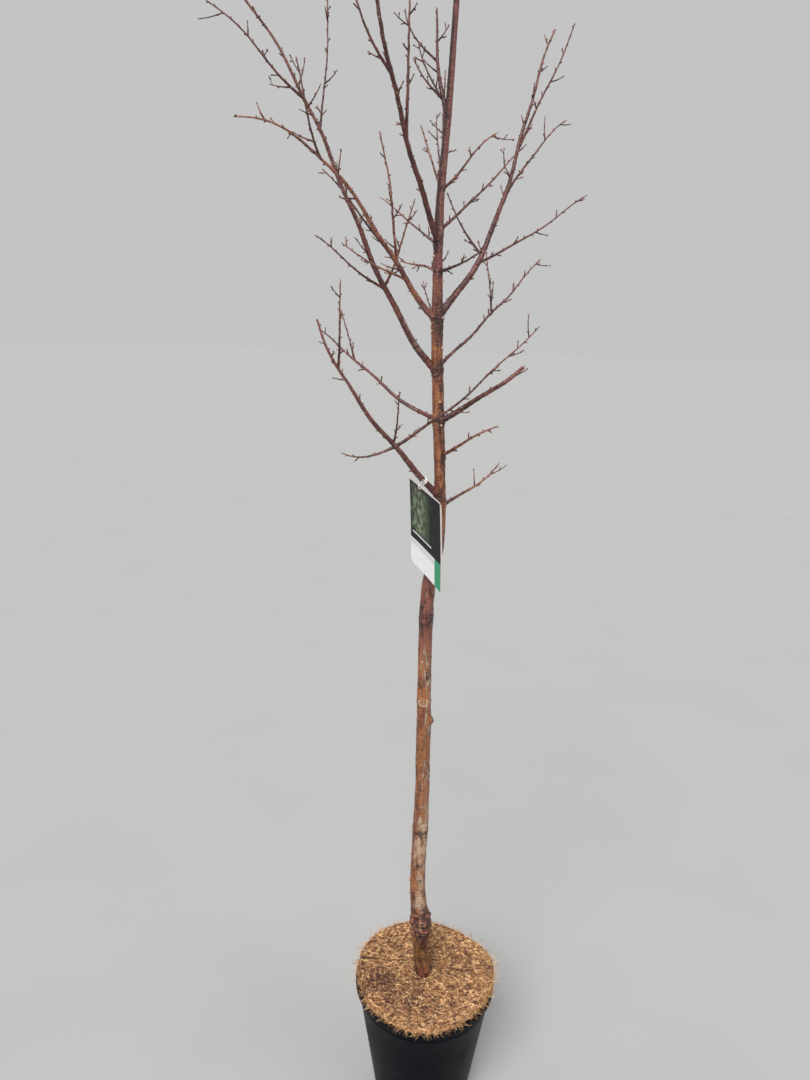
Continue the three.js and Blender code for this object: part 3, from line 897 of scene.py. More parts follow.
COARSE_RULE = TwigRule(1207, 22, 41, 4, 52, 16, 8, 34, 2, (2.4, 1.3), 1.7, 5)
FINE_RULE = TwigRule(4127, 7, 12.5, 3, 50, 12, 0.8, 10, 5.5, (1.6, 1.1), 1.2, 1)


class LimbPath:
    """Course of a limb, worked out step by step as the source does."""

    STEPS = 48
    WAVER = 4.0
    WAVE_LENGTH = 130.0
    COLLAR_SWELL = 0.3
    COLLAR_LENGTH = 14.0
    ZIGZAG = 0.28
    BUD_SPACING = 12.5

    def __init__(self, start: Array, limb: Limb) -> None:
        """Work out the points and directions.

        Args:
            start: where the limb's middle line begins.
            limb: its sizes.
        """
        self.limb = limb
        self.step = limb.length / self.STEPS
        places = (np.arange(self.STEPS) + 0.5) * self.step
        phase = TURN * places / self.WAVE_LENGTH + math.radians(limb.bearing)
        rise = np.radians(self._rise(places / limb.length) + self.WAVER * np.sin(phase))
        bearing = np.radians(limb.bearing + self.WAVER * np.cos(phase))
        level = np.cos(rise)
        ahead = np.stack([level * np.cos(bearing), level * np.sin(bearing), np.sin(rise)], axis=1)
        self.aheads = np.vstack([ahead, ahead[-1:]])
        self.points = start + np.vstack([np.zeros((1, 3)), np.cumsum(ahead * self.step, axis=0)])
        self.across = np.cross(UP, towards(limb.bearing))

    def _rise(self, share: Array) -> Array:
        """Slope above level at shares of the length."""
        root, middle, tip = self.limb.rise
        return (2 * root + 2 * tip - 4 * middle) * share**2 + (4 * middle - 3 * root - tip) * share + root

    def radius(self, distance: Array | float) -> Array:
        """Radius at distances from the root.

        Args:
            distance: from the root.

        Returns:
            The radii there.
        """
        root, tip = self.limb.thick
        taper = root + (tip - root) * (distance / self.limb.length) ** 0.8
        return taper / 2 * (1 + self.COLLAR_SWELL * np.exp(-distance / self.COLLAR_LENGTH))

    def station(self, distance: float) -> tuple[Array, Array, float]:
        """Point, direction and radius at a distance, as the source has them.

        Args:
            distance: from the root.

        Returns:
            The point, the direction ahead and the radius.
        """
        place = min(max(distance / self.step, 0.0), float(self.STEPS))
        i = min(int(place), self.STEPS - 1)
        point = self.points[i] + (self.points[i + 1] - self.points[i]) * (place - i)
        return point, self.aheads[i], float(self.radius(distance))

    def course(self, distances: Array) -> tuple[Array, Array]:
        """The same line without corners, bent a little from bud to bud.

        Args:
            distances: from the root.

        Returns:
            Middles and directions.
        """
        leads = np.vstack([self.aheads[:1], (self.aheads[:-2] + self.aheads[1:-1]) / 2, self.aheads[-1:]])
        place = np.clip(distances / self.step, 0.0, self.STEPS)
        i = np.minimum(place.astype(int), self.STEPS - 1)
        t = (place - i)[:, None]
        middles = curve(t, self.points[i], leads[i] * self.step, self.points[i + 1], leads[i + 1] * self.step)
        sway = self.ZIGZAG * np.sin(math.pi * distances / self.BUD_SPACING) * np.minimum(distances / 40, 1)
        return middles + sway[:, None] * self.across, unit(leads[i] * (1 - t) + leads[i + 1] * t)


@dataclass
class Placed:
    """Every limb already placed, as balls along it, so that twigs can keep clear of them."""

    SPACING = 6.0
    TEST = 4.0
    balls: list[tuple[Array, float, str]] = field(default_factory=list)

    def remember(self, path: LimbPath, owner: str) -> None:
        """Remember a limb.

        Args:
            path: its course.
            owner: name of the mass that it belongs to.
        """
        count = math.ceil(path.limb.length / self.SPACING)
        for i in range(count + 1):
            point, _, radius = path.station(path.limb.length * i / count)
            self.balls.append((point, radius, owner))

    def is_clear(self, path: LimbPath, owner: str, start: float, clearance: float) -> bool:
        """Whether a twig keeps clear of the limbs of all other masses.

        Args:
            path: the twig's course.
            owner: name of its own mass.
            start: distance from which it is tested.
            clearance: least room between two surfaces.

        Returns:
            True where it is clear.
        """
        others = [(point, radius) for point, radius, name in self.balls if name != owner]
        points, radii = map(np.array, zip(*others))
        distance = start
        while distance <= path.limb.length:
            point, _, radius = path.station(distance)
            room = radii + radius + clearance
            if np.any(np.sum((points - point) ** 2, axis=1) < room**2):
                return False
            distance += self.TEST
        return True


class Grower:
    """Sets twigs along limbs by one rule, with one stream of draws."""

    def __init__(self, rule: TwigRule, placed: Placed) -> None:
        """Start the rule's draws.

        Args:
            rule: how the twigs stand.
            placed: what they keep clear of.
        """
        self.rule = rule
        self.placed = placed
        self.draws = Draws(rule.seed)

    def along(self, path: LimbPath, start: float, owner: str, stop: float | None = None) -> list[LimbPath]:
        """Twigs of a limb, each leaning from it and lifting towards the light.

        Args:
            path: the limb.
            start: distance at which its twigs may begin.
            owner: name of the mass.
            stop: distance at which they end, if not at its tip.

        Returns:
            The twigs that stand clear.
        """
        rule, twigs = self.rule, []
        lean = math.radians(rule.lean)
        end = path.limb.length if stop is None else stop
        k = 0
        while start + rule.first + k * rule.spacing < end - rule.last:
            point, ahead, radius = path.station(start + rule.first + k * rule.spacing)
            across, over = squared_off(path.across, ahead)
            around = math.radians(GOLDEN_ANGLE * k + path.limb.bearing)
            out = math.cos(around) * across + math.sin(around) * over
            way = math.cos(lean) * ahead + math.sin(lean) * out
            rise = math.degrees(math.asin(way[2]))
            length = rule.shortest + (rule.longest - rule.shortest) * self.draws.next() ** rule.skew
            thick = tuple(min(size, rule.share * radius) for size in rule.thick)
            rises = (rise, rise + rule.lift / 2, rise + rule.lift)
            bearing = math.degrees(math.atan2(way[1], way[0]))
            twig = LimbPath(point, Limb(0, bearing, rises, length + radius, thick))
            if self.placed.is_clear(twig, owner, radius, rule.clearance):
                twigs.append(twig)
                self.placed.remember(twig, owner)
            k += 1
        return twigs


# Bark


class Bark:
    """Relief and colour shares of a limb's bark, as rows of rings by columns round them, in millimetres."""

    def __init__(self, along: Array, radius: Array, sides: int, seed: int) -> None:
        """Start with a smooth limb.

        Args:
            along: distance of each ring.
            radius: radius of each ring.
            sides: columns round the limb.
            seed: of its noise, the same all over the tree.
        """
        self.along = along[:, None]
        self.around = (np.arange(sides) * TURN / sides)[None, :]
        self.radius = radius[:, None]
        self.sides = sides
        self.noise = SoftNoise(seed)
        self.shift = 0.0
        self.relief = np.zeros((len(along), sides))
        self.film, self.dark, self.olive, self.warm = (np.zeros_like(self.relief) for _ in range(4))

    def cloud(self, wide: float, tall: float, lift: float = 0.0) -> Array:
        """Noise with cells so wide round the limb and so tall along it."""
        x, y = self.radius * np.cos(self.around) / wide, self.radius * np.sin(self.around) / wide
        return self.noise.at(x + 7.3 + lift, y + 3.1 + self.shift, self.along / tall + lift)

    def clouds(self, *rows: tuple[float, ...]) -> Array:
        """Sum of noises; a row is a strength and then what cloud takes."""
        return sum(strength * self.cloud(*cells) for strength, *cells in rows)

    def beside(self, bearing: float) -> Array:
        """Distance round the limb from a bearing."""
        return ((self.around - math.radians(bearing) + math.pi) % TURN - math.pi) * self.radius

    def facing(self, bearing: float) -> Array:
        """How far the bark faces a bearing: 1 towards it and -1 away from it."""
        return np.cos(self.around - math.radians(bearing))

    def spot(self, at: float, bearing: float, wide: float, tall: float) -> Array:
        """A soft round mask about one place, its sizes where it has fallen to a third."""
        return np.exp(-((self.beside(bearing) / wide) ** 2) - ((self.along - at) / tall) ** 2)

    def spots(self, rows: Spots) -> Array:
        """Sum of soft round masks; a row is a strength, distance, bearing, width and height."""
        return sum(strength * self.spot(*place) for strength, *place in rows)

    def ring(self, at: float, tall: float) -> Array:
        """A soft mask right round the limb at one distance."""
        return hump((self.along - at) / tall)

    def banded(self, rows: Rows) -> Array:
        """A value that goes from row to row of distances and values."""
        return np.interp(self.along, *zip(*rows))

    def round_tip(self, end: float, reach: float, share: float = 1.0) -> None:
        """Draw the bark in to a round tip at an end, over a reach, and by a share."""
        away = 1 - held((end - self.along) / reach)
        self.relief -= (self.radius + self.relief) * (1 - np.sqrt(1 - away**2)) * share

    def lay_on(self, mass: Joined, middles: Array, ahead: Array, across: Array, slot: int) -> None:
        """Lay the bark on a tube, and add that to a mesh.

        Args:
            mass: where it is added.
            middles: middle of each ring.
            ahead: direction of each ring's axle.
            across: about where the first column points.
            slot: number of its material.
        """
        tube = tube_of(self.sides, len(self.along) - 1)
        reach = self.radius + self.relief
        spots = tube.laid(middles, reach, *squared_off(across, ahead))
        reach = reach[tube.ring, tube.side][:, None]
        x, y = reach * np.cos(tube.angle) + self.shift * 40, reach * np.sin(tube.angle)
        grain = np.concatenate([x, y, self.along[tube.ring]], axis=1)
        parts = (self.film, self.dark, self.olive, self.warm)
        shares = np.stack([held(part[tube.ring, tube.side]) for part in parts], axis=1)
        mass.add(tube, spots, slot, grain, shares)


def rings_between(start: float, end: float, spacing: float) -> Array:
    """Distances of evenly spaced rings from one place to another."""
    return np.linspace(start, end, max(2, math.ceil((end - start) / spacing)) + 1)


class Tint(Enum):
    """Ground colour of a limb's bark."""

    MAROON = 0
    COPPER = 1
    PLUM = 2


LIMB_FINISHES: dict[Tint, BarkFinish] = {
    Tint.MAROON: BarkFinish("bark_maroon", (0.140, 0.039, 0.028), (0.046, 0.0130, 0.0115),
                            (0.26, 0.148, 0.120), warm=(0.270, 0.112, 0.088), roughness=0.35),
    Tint.COPPER: BarkFinish("bark_copper", (0.255, 0.088, 0.050), (0.095, 0.028, 0.019), (0.34, 0.210, 0.165),
                            warm=(0.370, 0.178, 0.132)),
    Tint.PLUM: BarkFinish("bark_plum", (0.105, 0.037, 0.032), (0.045, 0.016, 0.0155), (0.24, 0.150, 0.135),
                          warm=(0.240, 0.115, 0.098)),
}

BUD_FINISHES: tuple[SpeckledFinish, ...] = (
    bud_finish("bud_maroon", (0.085, 0.026, 0.020), (0.21, 0.085, 0.060)),
    bud_finish("bud_brown", (0.15, 0.062, 0.036), (0.30, 0.15, 0.09)),
    bud_finish("bud_tan", (0.36, 0.20, 0.14), (0.56, 0.38, 0.30)),
)
BUD_SHARES: tuple[float, ...] = (0.40, 0.28, 0.32)
BUD_PIECES: dict[str, tuple[int, ...]] = {"buds_dark": (0, 1), "buds_pale": (2,)}

LIMB_TINTS: dict[str, Tint] = {
    name: tint for tint, names in (
        (Tint.MAROON, "low_left mid_right mid_left long_left rear_right high_right second_leader"),
        (Tint.COPPER, "low_right high_left fore_right back_left thin_left top_left top_right crown_left"),
        (Tint.PLUM, "rear_low rear_high front_right left_leader crown_front"),
        (Tint.MAROON, "upper_right crown_right"),
    ) for name in names.split()
}


# Stem


@dataclass
class Stem:
    """The stem, from its flat cut on the compost to its tip.

    Tables go by height above the floor: bands say a value from there on up, and spots a strength, a height,
    a bearing, a width and a height of their own.
    """

    foot: float = 2.0
    ground: float = 253.0
    top: float = 2343.0
    gap: float = 0.3
    bends: Rows = (
        (253, -4), (280, -6), (305, -10), (350, -13.5), (405, -13.5), (432, -18), (500, -23), (670, -20),
        (850, -22), (1095, -22), (1185, -7), (1305, -9), (1435, -17), (1545, -22), (1705, -24), (1850, -16),
        (1990, -10), (2343, 2),
    )
    thickness: Rows = (
        (253, 30), (280, 29.8), (300, 29.4), (320, 25.4), (339, 28), (354, 32), (370, 33.8), (385, 37.4),
        (402, 40.2), (413, 39), (430, 33.8), (460, 31), (490, 29.2), (700, 26.6), (1095, 23.4), (1185, 20.8),
        (1295, 18.6), (1540, 18.4), (1590, 16), (1685, 14.2), (1730, 12.2), (1850, 10.3), (1990, 8.8),
        (2343, 3),
    )
    nodes: tuple[float, ...] = (616, 885, 1049, 1262, 1336, 1392, 1474, 1556, 1622, 1686, 1744, 1842)
    node_swell: float = 0.05
    node_spread: float = 18.0
    flare_swell: float = 0.22
    flare_height: float = 26.0
    crown_from: float = 1100.0
    sides: int = 48
    ring_spacing: float = 1.42
    seed: int = 11
    pegs: tuple[float, ...] = (608, 582, 554, 528, 502, 492, 466)
    scars: Rows = (
        (1382, 292), (1420, 286), (1476, 204), (1505, 331), (1530, 206), (1551, 337), (1607, 341),
        (1643, 214), (1330, 35), (1455, 120), (1590, 75), (962, 250), (1128, 205), (1166, 60),
    )
    old_cut: Pair = (885, 263)
    old_cut_gap: tuple[float, float, float, float] = (881, 310, 6, 6)
    lumps: Spots = (
        (4.0, 270, 250, 6, 10), (2.4, 268, 160, 8, 10), (1.4, 266, 60, 9, 8), (4.0, 292, 2, 5.5, 6),
        (-1.2, 276, 305, 5, 12), (-3.4, 274, 212, 9, 22), (1.8, 408, 200, 9, 6), (1.4, 392, 330, 8, 7),
        (-1.7, 419, 275, 5, 4), (1.5, 384, 250, 6, 4), (-1.3, 398, 300, 4, 5), (1.2, 424, 240, 5, 3),
        (1.3, 706, 255, 3.2, 3), (0.9, 748, 205, 4, 5), (6.0, 846, 354, 5, 7), (1.2, 960, 300, 4, 3.5),
        (1.0, 1040, 250, 6, 5), (0.8, 1124, 285, 4, 4),
    )
    film_bands: Rows = (
        (425, 0), (450, 0.60), (500, 0.54), (560, 0.64), (640, 0.58), (700, 0.44), (830, 0.42), (870, 0.58),
        (960, 0.52), (1010, 0.30), (1200, 0.28), (1290, 0.18), (1600, 0.14), (1750, 0.27),
    )
    film_spots: Spots = (
        (0.35, 433, 300, 8, 3.5), (0.25, 448, 290, 7, 16), (0.12, 624, 275, 12, 6), (-0.3, 868, 285, 9, 10),
    )
    dark_bands: Rows = (
        (262, 0.40), (290, 0.26), (310, 0.42), (345, 0.44), (372, 0.60), (402, 0.66), (430, 0.58),
        (446, 0.34), (600, 0.32), (700, 0.26), (830, 0.24), (1000, 0.36), (1060, 0.46), (1250, 0.38),
        (1560, 0.30), (1690, 0.36),
    )
    # the second dark spot, at bearing 208 on the foot, paints shade where the foot stands in the mat's
    # shadowed hole
    dark_spots: Spots = (
        (0.4, 276, 300, 6, 14), (0.8, 280, 208, 9, 26), (0.6, 292, 2, 8, 7), (0.6, 611, 238, 8, 3.5),
        (0.4, 614, 310, 5, 3), (0.4, 706, 255, 5, 3), (0.6, 846, 354, 7, 8), (0.15, 1040, 250, 12, 14),
    )
    # painted shade: one_sided_bands is where the crown's right half is shaded, shady_bands where the left
    # side is shaded near the top
    one_sided_bands: Rows = ((1170, 0), (1240, 1), (1560, 1), (1640, 0))
    lit_bands: Rows = ((1560, 1), (1700, 0.45))
    shady_bands: Rows = ((1580, 0), (1700, 0.58))
    mottled_bands: Rows = (
        (440, 0), (470, 1), (640, 1), (680, 0.5), (840, 0.5), (870, 1), (1190, 1), (1230, 0.45),
    )
    blotched_bands: Rows = ((990, 0), (1040, 0.22), (1170, 0.22), (1210, 0))
    olive_bands: Rows = (
        (292, 0), (306, 0.80), (352, 0.75), (374, 0.15), (430, 0), (700, 0), (740, 0.22), (820, 0.22),
        (850, 0),
    )
    warm_bands: Rows = (
        (270, 0.75), (284, 0.85), (296, 0.55), (306, 0), (960, 0), (1010, 0.72), (1180, 0.72), (1220, 0),
        (1500, 0), (1640, 1.0),
    )
    warm_spots: Spots = ((0.3, 860, 262, 14, 16), (0.35, 1040, 250, 14, 22))
    finish: BarkFinish = BarkFinish(
        "stem_bark", (0.360, 0.132, 0.046), (0.150, 0.042, 0.017), (0.56, 0.385, 0.265),
        dark=(0.034, 0.0110, 0.0085), shade_share=0.60, fleck_and_glint_share=0.32, roughness=0.36, bump=0.0022)
    stub_finish: SpeckledFinish = bud_finish("stub_pale", (0.48, 0.30, 0.21), (0.76, 0.60, 0.47))

    def middle(self, heights: Array | float) -> Array:
        """Middle of the stem at heights above the floor."""
        bend = read_smooth(self.bends, heights)
        return np.stack([self.foot + bend, 0 * bend, heights + 0 * bend], axis=-1)

    def radius(self, heights: Array | float) -> Array:
        """Radius of the stem at heights above the floor.

        Args:
            heights: where it is read.

        Returns:
            The radii there.
        """
        swelling = 1 + self.flare_swell * np.exp(-(heights - self.ground) / self.flare_height)
        for node in self.nodes:
            swelling = swelling + self.node_swell * hump((heights - node) / self.node_spread)
        return np.interp(heights, *zip(*self.thickness)) / 2 * swelling

    def build(self) -> None:
        """Make the stem's bark with its stubs."""
        heights = rings_between(self.ground + self.gap, self.top, self.ring_spacing)
        bark = Bark(heights, self.radius(heights), self.sides, self.seed)
        self._shape(bark)
        self._colour_film(bark)
        self._colour_dark(bark)
        bark.olive += bark.banded(self.olive_bands)
        bark.warm += bark.banded(self.warm_bands) + bark.spots(self.warm_spots) + 0.35 * self._graft(bark)
        bark.round_tip(self.top, 1.5)
        stem = Joined()
        ahead = unit(self.middle(heights + 1) - self.middle(heights - 1))
        bark.lay_on(stem, self.middle(heights), ahead, towards(0), 0)
        self._add_stubs(stem)
        hand_over(stem.build("stem_bark", [self.finish.make(), self.stub_finish.make()]), "bark", "stem")

    @staticmethod
    def _graft(bark: Bark) -> Array:
        """Share of the graft's rough bulge."""
        return plateau((bark.along - 402) / 30)

    def _shape(self, bark: Bark) -> None:
        """Raise the bark's relief: ridges, flakes, a washboard, nodes, the graft and the stock's cracks.

        Args:
            bark: the stem's bark.
        """
        z, thin = bark.along, np.clip(bark.radius / 12, 0.3, 1)
        ridges = bark.clouds((0.42, 15, 60), (0.26, 2.6, 26, 5), (0.22, 9, 2.4, 9), (0.36, 5, 7, 37))
        bark.relief += thin * ridges
        flake = held((bark.cloud(7, 19, 13) - 0.25) * 6)
        bark.relief += held((z - 430) / 60) * thin * (0.22 * flake + 1.36 * flake * (1 - flake))
        washboard = bark.ring(478, 34) * held((bark.facing(225) - 0.2) * 2)
        bark.relief += 0.32 * washboard * np.sin(z * 1.05 + 2 * bark.cloud(9, 30, 51))
        self._shape_nodes(bark, thin)
        rough = bark.clouds((2.5, 8, 7, 17), (1.5, 3.6, 3.2, 21)) + 0.6 * np.sin(z * 1.15)
        bark.relief += plateau((z - 400) / 30) * rough
        bark.relief += bark.ring(338, 34) * bark.clouds((0.7, 5, 9, 25), (0.35, 2.0, 3.6, 27))
        bark.relief += bark.spots(self.lumps)
        bark.relief *= held((self.top - z) / 60)

    def _shape_nodes(self, bark: Bark, thin: Array) -> None:
        """Raise the rings at the nodes, the collars of the limbs and the old cut with its healed lip.

        Args:
            bark: the stem's bark.
            thin: how much of its relief the stem keeps where it is thin.
        """
        z = bark.along
        for number, node in enumerate(self.nodes):
            broken = (0.5 + 0.8 * bark.cloud(7, 9, 60 + number)) * (1.0 if node > self.crown_from else 0.30)
            ripple = 0.40 * np.sin(z * 1.9) * broken + 0.55 * bark.cloud(5, 3, 3)
            bark.relief += thin * bark.ring(node, 9) * ripple
            bark.relief += 0.55 * thin * bark.ring(node + 2 * math.sin(number * 4.0), 2.0) * broken
        for limb in ON_STEM.values():
            at, bearing, size = limb.start, limb.bearing, limb.thick[0]
            bark.relief += 0.13 * size * bark.spot(at + 0.25 * size, bearing, size * 0.9, size * 0.9)
            bark.relief += 0.06 * size * np.sin(z * 2.2) * bark.spot(at - 2, bearing, size, size * 1.1)
            collar = bark.spot(at - 3, bearing, 2 * size, 1.3 * size)
            bark.relief += 0.10 * size * bark.cloud(3, 3.5, 43) * collar
        height, bearing = self.old_cut
        reach = np.hypot(bark.beside(bearing) / 1.15, z - height)
        bark.relief += 1.1 * hump((reach - 7.6) / 1.4) * (1 - 0.9 * bark.spot(*self.old_cut_gap))
        bark.relief += 1.7 * hump((reach - 1) / 2.2) - 0.6 * hump((reach - 4.6) / 1.5)

    def _colour_film(self, bark: Bark) -> None:
        """Deal out the grey film, most of it on the front side where it is also a painted highlight, on the
        old cut and on the graft, whose pale flecks are painted glints.

        Args:
            bark: the stem's bark.
        """
        # painted highlight: more film on the side facing the front, at bearing 292
        side = held(1.9 * bark.facing(292) - 0.75 + 0.5 * bark.cloud(9, 60, 31))
        bark.film += bark.banded(self.film_bands) * (0.30 + 0.70 * side) + bark.spots(self.film_spots)
        height, bearing = self.old_cut
        reach = np.hypot(bark.beside(bearing) / 1.6, bark.along - height)
        bark.film += 0.75 * hump((reach - 5.6) / 1.5) * (1 - 0.9 * bark.spot(*self.old_cut_gap))
        bark.film += 0.5 * hump(reach / 1.8) + 0.16 * bark.banded(self.mottled_bands) * bark.cloud(6, 16, 93)
        # painted glints: pale film flecks on the graft
        bark.film += self._graft(bark) * held(1.5 * bark.cloud(3.2, 2.2, 85) - 0.35)

    def _colour_dark(self, bark: Bark) -> None:
        """Deal out the dark bark by height, about the nodes and limbs and in mottles, and painted shade by
        side.

        Args:
            bark: the stem's bark.
        """
        # painted shade: dark bark strengthened on the side facing bearing 350
        bark.dark += bark.banded(self.dark_bands) * (0.75 + 0.35 * held(0.55 + 0.6 * bark.facing(350)))
        # in the crown: a little dark bark, and painted shade on the right half
        one_sided = bark.banded(self.one_sided_bands)
        half = held(0.5 + 1.7 * (bark.facing(345) - 0.22 + 0.2 * bark.cloud(9, 40, 71)))
        bark.dark = bark.dark * (1 - one_sided) + one_sided * (0.10 + 0.37 * half)
        # painted shade on the left side near the top, with the other dark bark thinned there
        shady = bark.banded(self.shady_bands) * held(0.5 - 0.9 * bark.facing(350))
        bark.dark = bark.dark * bark.banded(self.lit_bands) + shady + bark.spots(self.dark_spots)
        for number, node in enumerate(self.nodes):
            broken = held(0.35 + 0.9 * bark.cloud(6, 8, 60 + number))
            bark.dark += 0.45 * bark.ring(node - 1, 4.5) * broken * (1.0 if node > self.crown_from else 0.15)
        for limb in ON_STEM.values():
            size = limb.thick[0]
            bark.dark += 0.35 * bark.spot(limb.start - 1, limb.bearing, size * 1.3, size * 1.1)
        mottle = bark.clouds((0.20, 7, 18, 91), (0.08, 3.4, 5, 97)) - 0.04
        bark.dark += bark.banded(self.mottled_bands) * mottle
        bark.dark += bark.banded(self.blotched_bands) * bark.cloud(5, 11, 99)
        bark.dark += self._graft(bark) * (0.9 * bark.cloud(5, 4.5, 81) + 0.06)

    def _add_stubs(self, stem: Joined) -> None:
        """Set small pale pegs along the stem's left edge, and wider scars where shoots were cut.

        Args:
            stem: the shapes of the stem.
        """
        tube = tube_of(7, 4)
        pegs = [(height, 186 + 14 * math.sin(i * 2.1), 1.0, 1.0) for i, height in enumerate(self.pegs)]
        scars = [(height, bearing, 1.5, 0.72) for height, bearing in self.scars]
        for height, bearing, wide, tall in (*pegs, *scars):
            out = towards(bearing) + 0.25 * UP
            start = self.middle(height) + out * (self.radius(height) - 2)
            distances = np.array([0, 4.2, 5.6, 6.2, 6.4]) * tall
            radii = np.array([1.7, 1.25, 1.15, 0.8, 0.15]) * wide
            rings = squared_off(UP, np.tile(unit(out), (5, 1)))
            stem.add(tube, tube.laid(start + out * distances[:, None], radii, *rings), 1)


# Crown


@dataclass
class Crown:
    """Boughs, side shoots, twigs, spurs and buds."""

    stem: Stem
    ring_spacing: float = 1.6
    twig_ring_spacing: float = 1.5
    spur_ring_spacing: float = 2.2
    bough_sides: int = 24
    side_sides: int = 14
    twig_sides: int = 7
    spur_sides: int = 6
    bud_size: Pair = (2.0, 3.3)
    own_tint_share: float = 0.62
    limb_seed: int = 23
    spur_seed: int = 29
    spray_seed: int = 2207
    placed: Placed = field(default_factory=Placed)
    buds: list[tuple[Array, Array, float, int]] = field(default_factory=list)
    fine: Grower = field(init=False)
    spray: np.random.Generator = field(init=False)
    finishes: list[Material] = field(init=False)

    def __post_init__(self) -> None:
        """Start the draws and make the finishes of the bark."""
        self.fine = Grower(FINE_RULE, self.placed)
        self.spray = np.random.default_rng(self.spray_seed)
        self.finishes = [LIMB_FINISHES[tint].make() for tint in Tint]

    def build(self) -> None:
        """Grow the crown as the source does, then carry it on to spurs and buds."""
        for height in np.arange(self.stem.ground, self.stem.top, Placed.SPACING):
            self.placed.balls.append((self.stem.middle(height), self.stem.radius(height), "stem"))
        limbs = {}
        for name, limb in ON_STEM.items():
            path = LimbPath(self.stem.middle(limb.start), limb)
            sides = [LimbPath(path.station(side.start)[0], side) for side in SIDE_SHOOTS.get(name, ())]
            for each in (path, *sides):
                self.placed.remember(each, name)
            limbs[name] = (path, sides)
        coarse = Grower(COARSE_RULE, self.placed)
        twigs = {}
        for name, (path, sides) in limbs.items():
            twigs[name] = coarse.along(path, path.limb.fork, name)
            for side in sides:
                twigs[name] += coarse.along(side, 0.0, name)
        for name, (path, sides) in limbs.items():
            if path.limb.fork:
                self._build_bough(name, path)
            self._build_shoots(name, path, sides, twigs[name])
        self._build_buds()

    def _build_bough(self, name: str, path: LimbPath) -> None:
        """Make one bough up to its first fork.

        Args:
            name: the limb's name.
            path: its course.
        """
        bough, tint, fork = Joined(), LIMB_TINTS[name].value, path.limb.fork
        self._limb(bough, path, self._inside_stem(path), fork, self.bough_sides, tint, self.ring_spacing)
        for spur in self.fine.along(path, self.stem_reach(path) + 8, name, fork - 4):
            self._spur(bough, spur, tint)
        hand_over(bough.build(f"bark_{name}", self.finishes), "bough_bark", f"bough_{name}")

    def _build_shoots(self, name: str, path: LimbPath, sides: list[LimbPath], twigs: list[LimbPath]) -> None:
        """Make one mass: its own stem, side shoots, twigs and spurs.

        Args:
            name: the limb's name.
            path: its own stem.
            sides: its side shoots.
            twigs: the rule's twigs.
        """
        mass = Joined()
        tint = LIMB_TINTS[name].value
        start = path.limb.fork or self._inside_stem(path)
        self._limb(mass, path, start, path.limb.length, self.bough_sides, tint, self.ring_spacing)
        first = path.limb.fork or self.stem_reach(path)
        spurs = self.fine.along(path, first, name)
        self._tip_buds(path)
        rows = [(side, self.side_sides, self.ring_spacing) for side in sides]
        rows += [(twig, self.twig_sides, self.twig_ring_spacing) for twig in twigs]
        for part, faces, spacing in rows:
            self._limb(mass, part, 0.0, part.limb.length, faces, self._sprayed(tint), spacing)
            spurs += self.fine.along(part, 0.0, name)
            self._tip_buds(part)
        for spur in spurs:
            self._spur(mass, spur, self._sprayed(tint))
        hand_over(mass.build(f"shoots_{name}", self.finishes), "twigs", f"twigs_{name}")

    def _sprayed(self, tint: int) -> int:
        """The limb's own tint, or another by spray."""
        return tint if self.spray.random() < self.own_tint_share else int(self.spray.integers(len(Tint)))

    def stem_reach(self, path: LimbPath) -> float:
        """Distance along a limb at which it comes out of the stem."""
        return self.stem.radius(path.limb.start) / math.cos(math.radians(path.limb.rise[0]))

    def _inside_stem(self, path: LimbPath) -> float:
        """Distance along a limb at which its tube may start, hidden in the stem."""
        return 0.35 * self.stem_reach(path)

    def _limb(self, mass: Joined, path: LimbPath, start: float, end: float, sides: int, tint: int,
              spacing: float) -> None:
        """Make a limb's tube with its bark.

        Args:
            mass: where it is added.
            path: its course.
            start: distance at which the tube starts.
            end: distance at which it ends.
            sides: its faces round.
            tint: number of its finish.
            spacing: of its rings.
        """
        distances = rings_between(start, end, spacing)
        bark = Bark(distances, path.radius(distances), sides, self.limb_seed)
        bark.shift = (path.limb.bearing * 1.7 + path.limb.length * 0.37) % 29
        self._shape(bark, path)
        if end == path.limb.length:
            bark.round_tip(end, 1.2, 0.92)
        bark.lay_on(mass, *path.course(distances), path.across, tint)

    @staticmethod
    def _shape(bark: Bark, path: LimbPath) -> None:
        """Raise a limb's relief: lengthwise ridges, a swelling at each bud and wrinkles at its root.

        Args:
            bark: the limb's bark.
            path: its course.
        """
        z, size = bark.along, bark.radius
        bark.relief += size * bark.clouds((0.07, 4, 26), (0.035, 1.4, 10, 5), (0.03, 3.5, 1.5, 9))
        step = LimbPath.BUD_SPACING
        near = (z - FINE_RULE.first - (path.limb.fork or 0) + step / 2) % step - step / 2
        bark.relief += (0.10 * size + 0.08) * hump(near / 1.3)
        bark.dark += 0.45 * hump((near + 1.2) / 1.1)
        root = bark.ring(2, 14)
        bark.relief += root * size * (0.05 * np.sin(z * 2.0) + bark.clouds((0.08, 3, 3, 3)))
        bark.dark += 0.4 * root + 0.14 + 0.3 * bark.cloud(8, 34, 15)
        # the sine term paints light: more pale film on the upper flank to the left of each limb
        bark.film += 0.08 + 0.30 * bark.cloud(6, 24, 19) + 0.10 * np.sin(bark.around + 1.0)
        bark.warm += 0.75 * (z / path.limb.length) ** 2.2

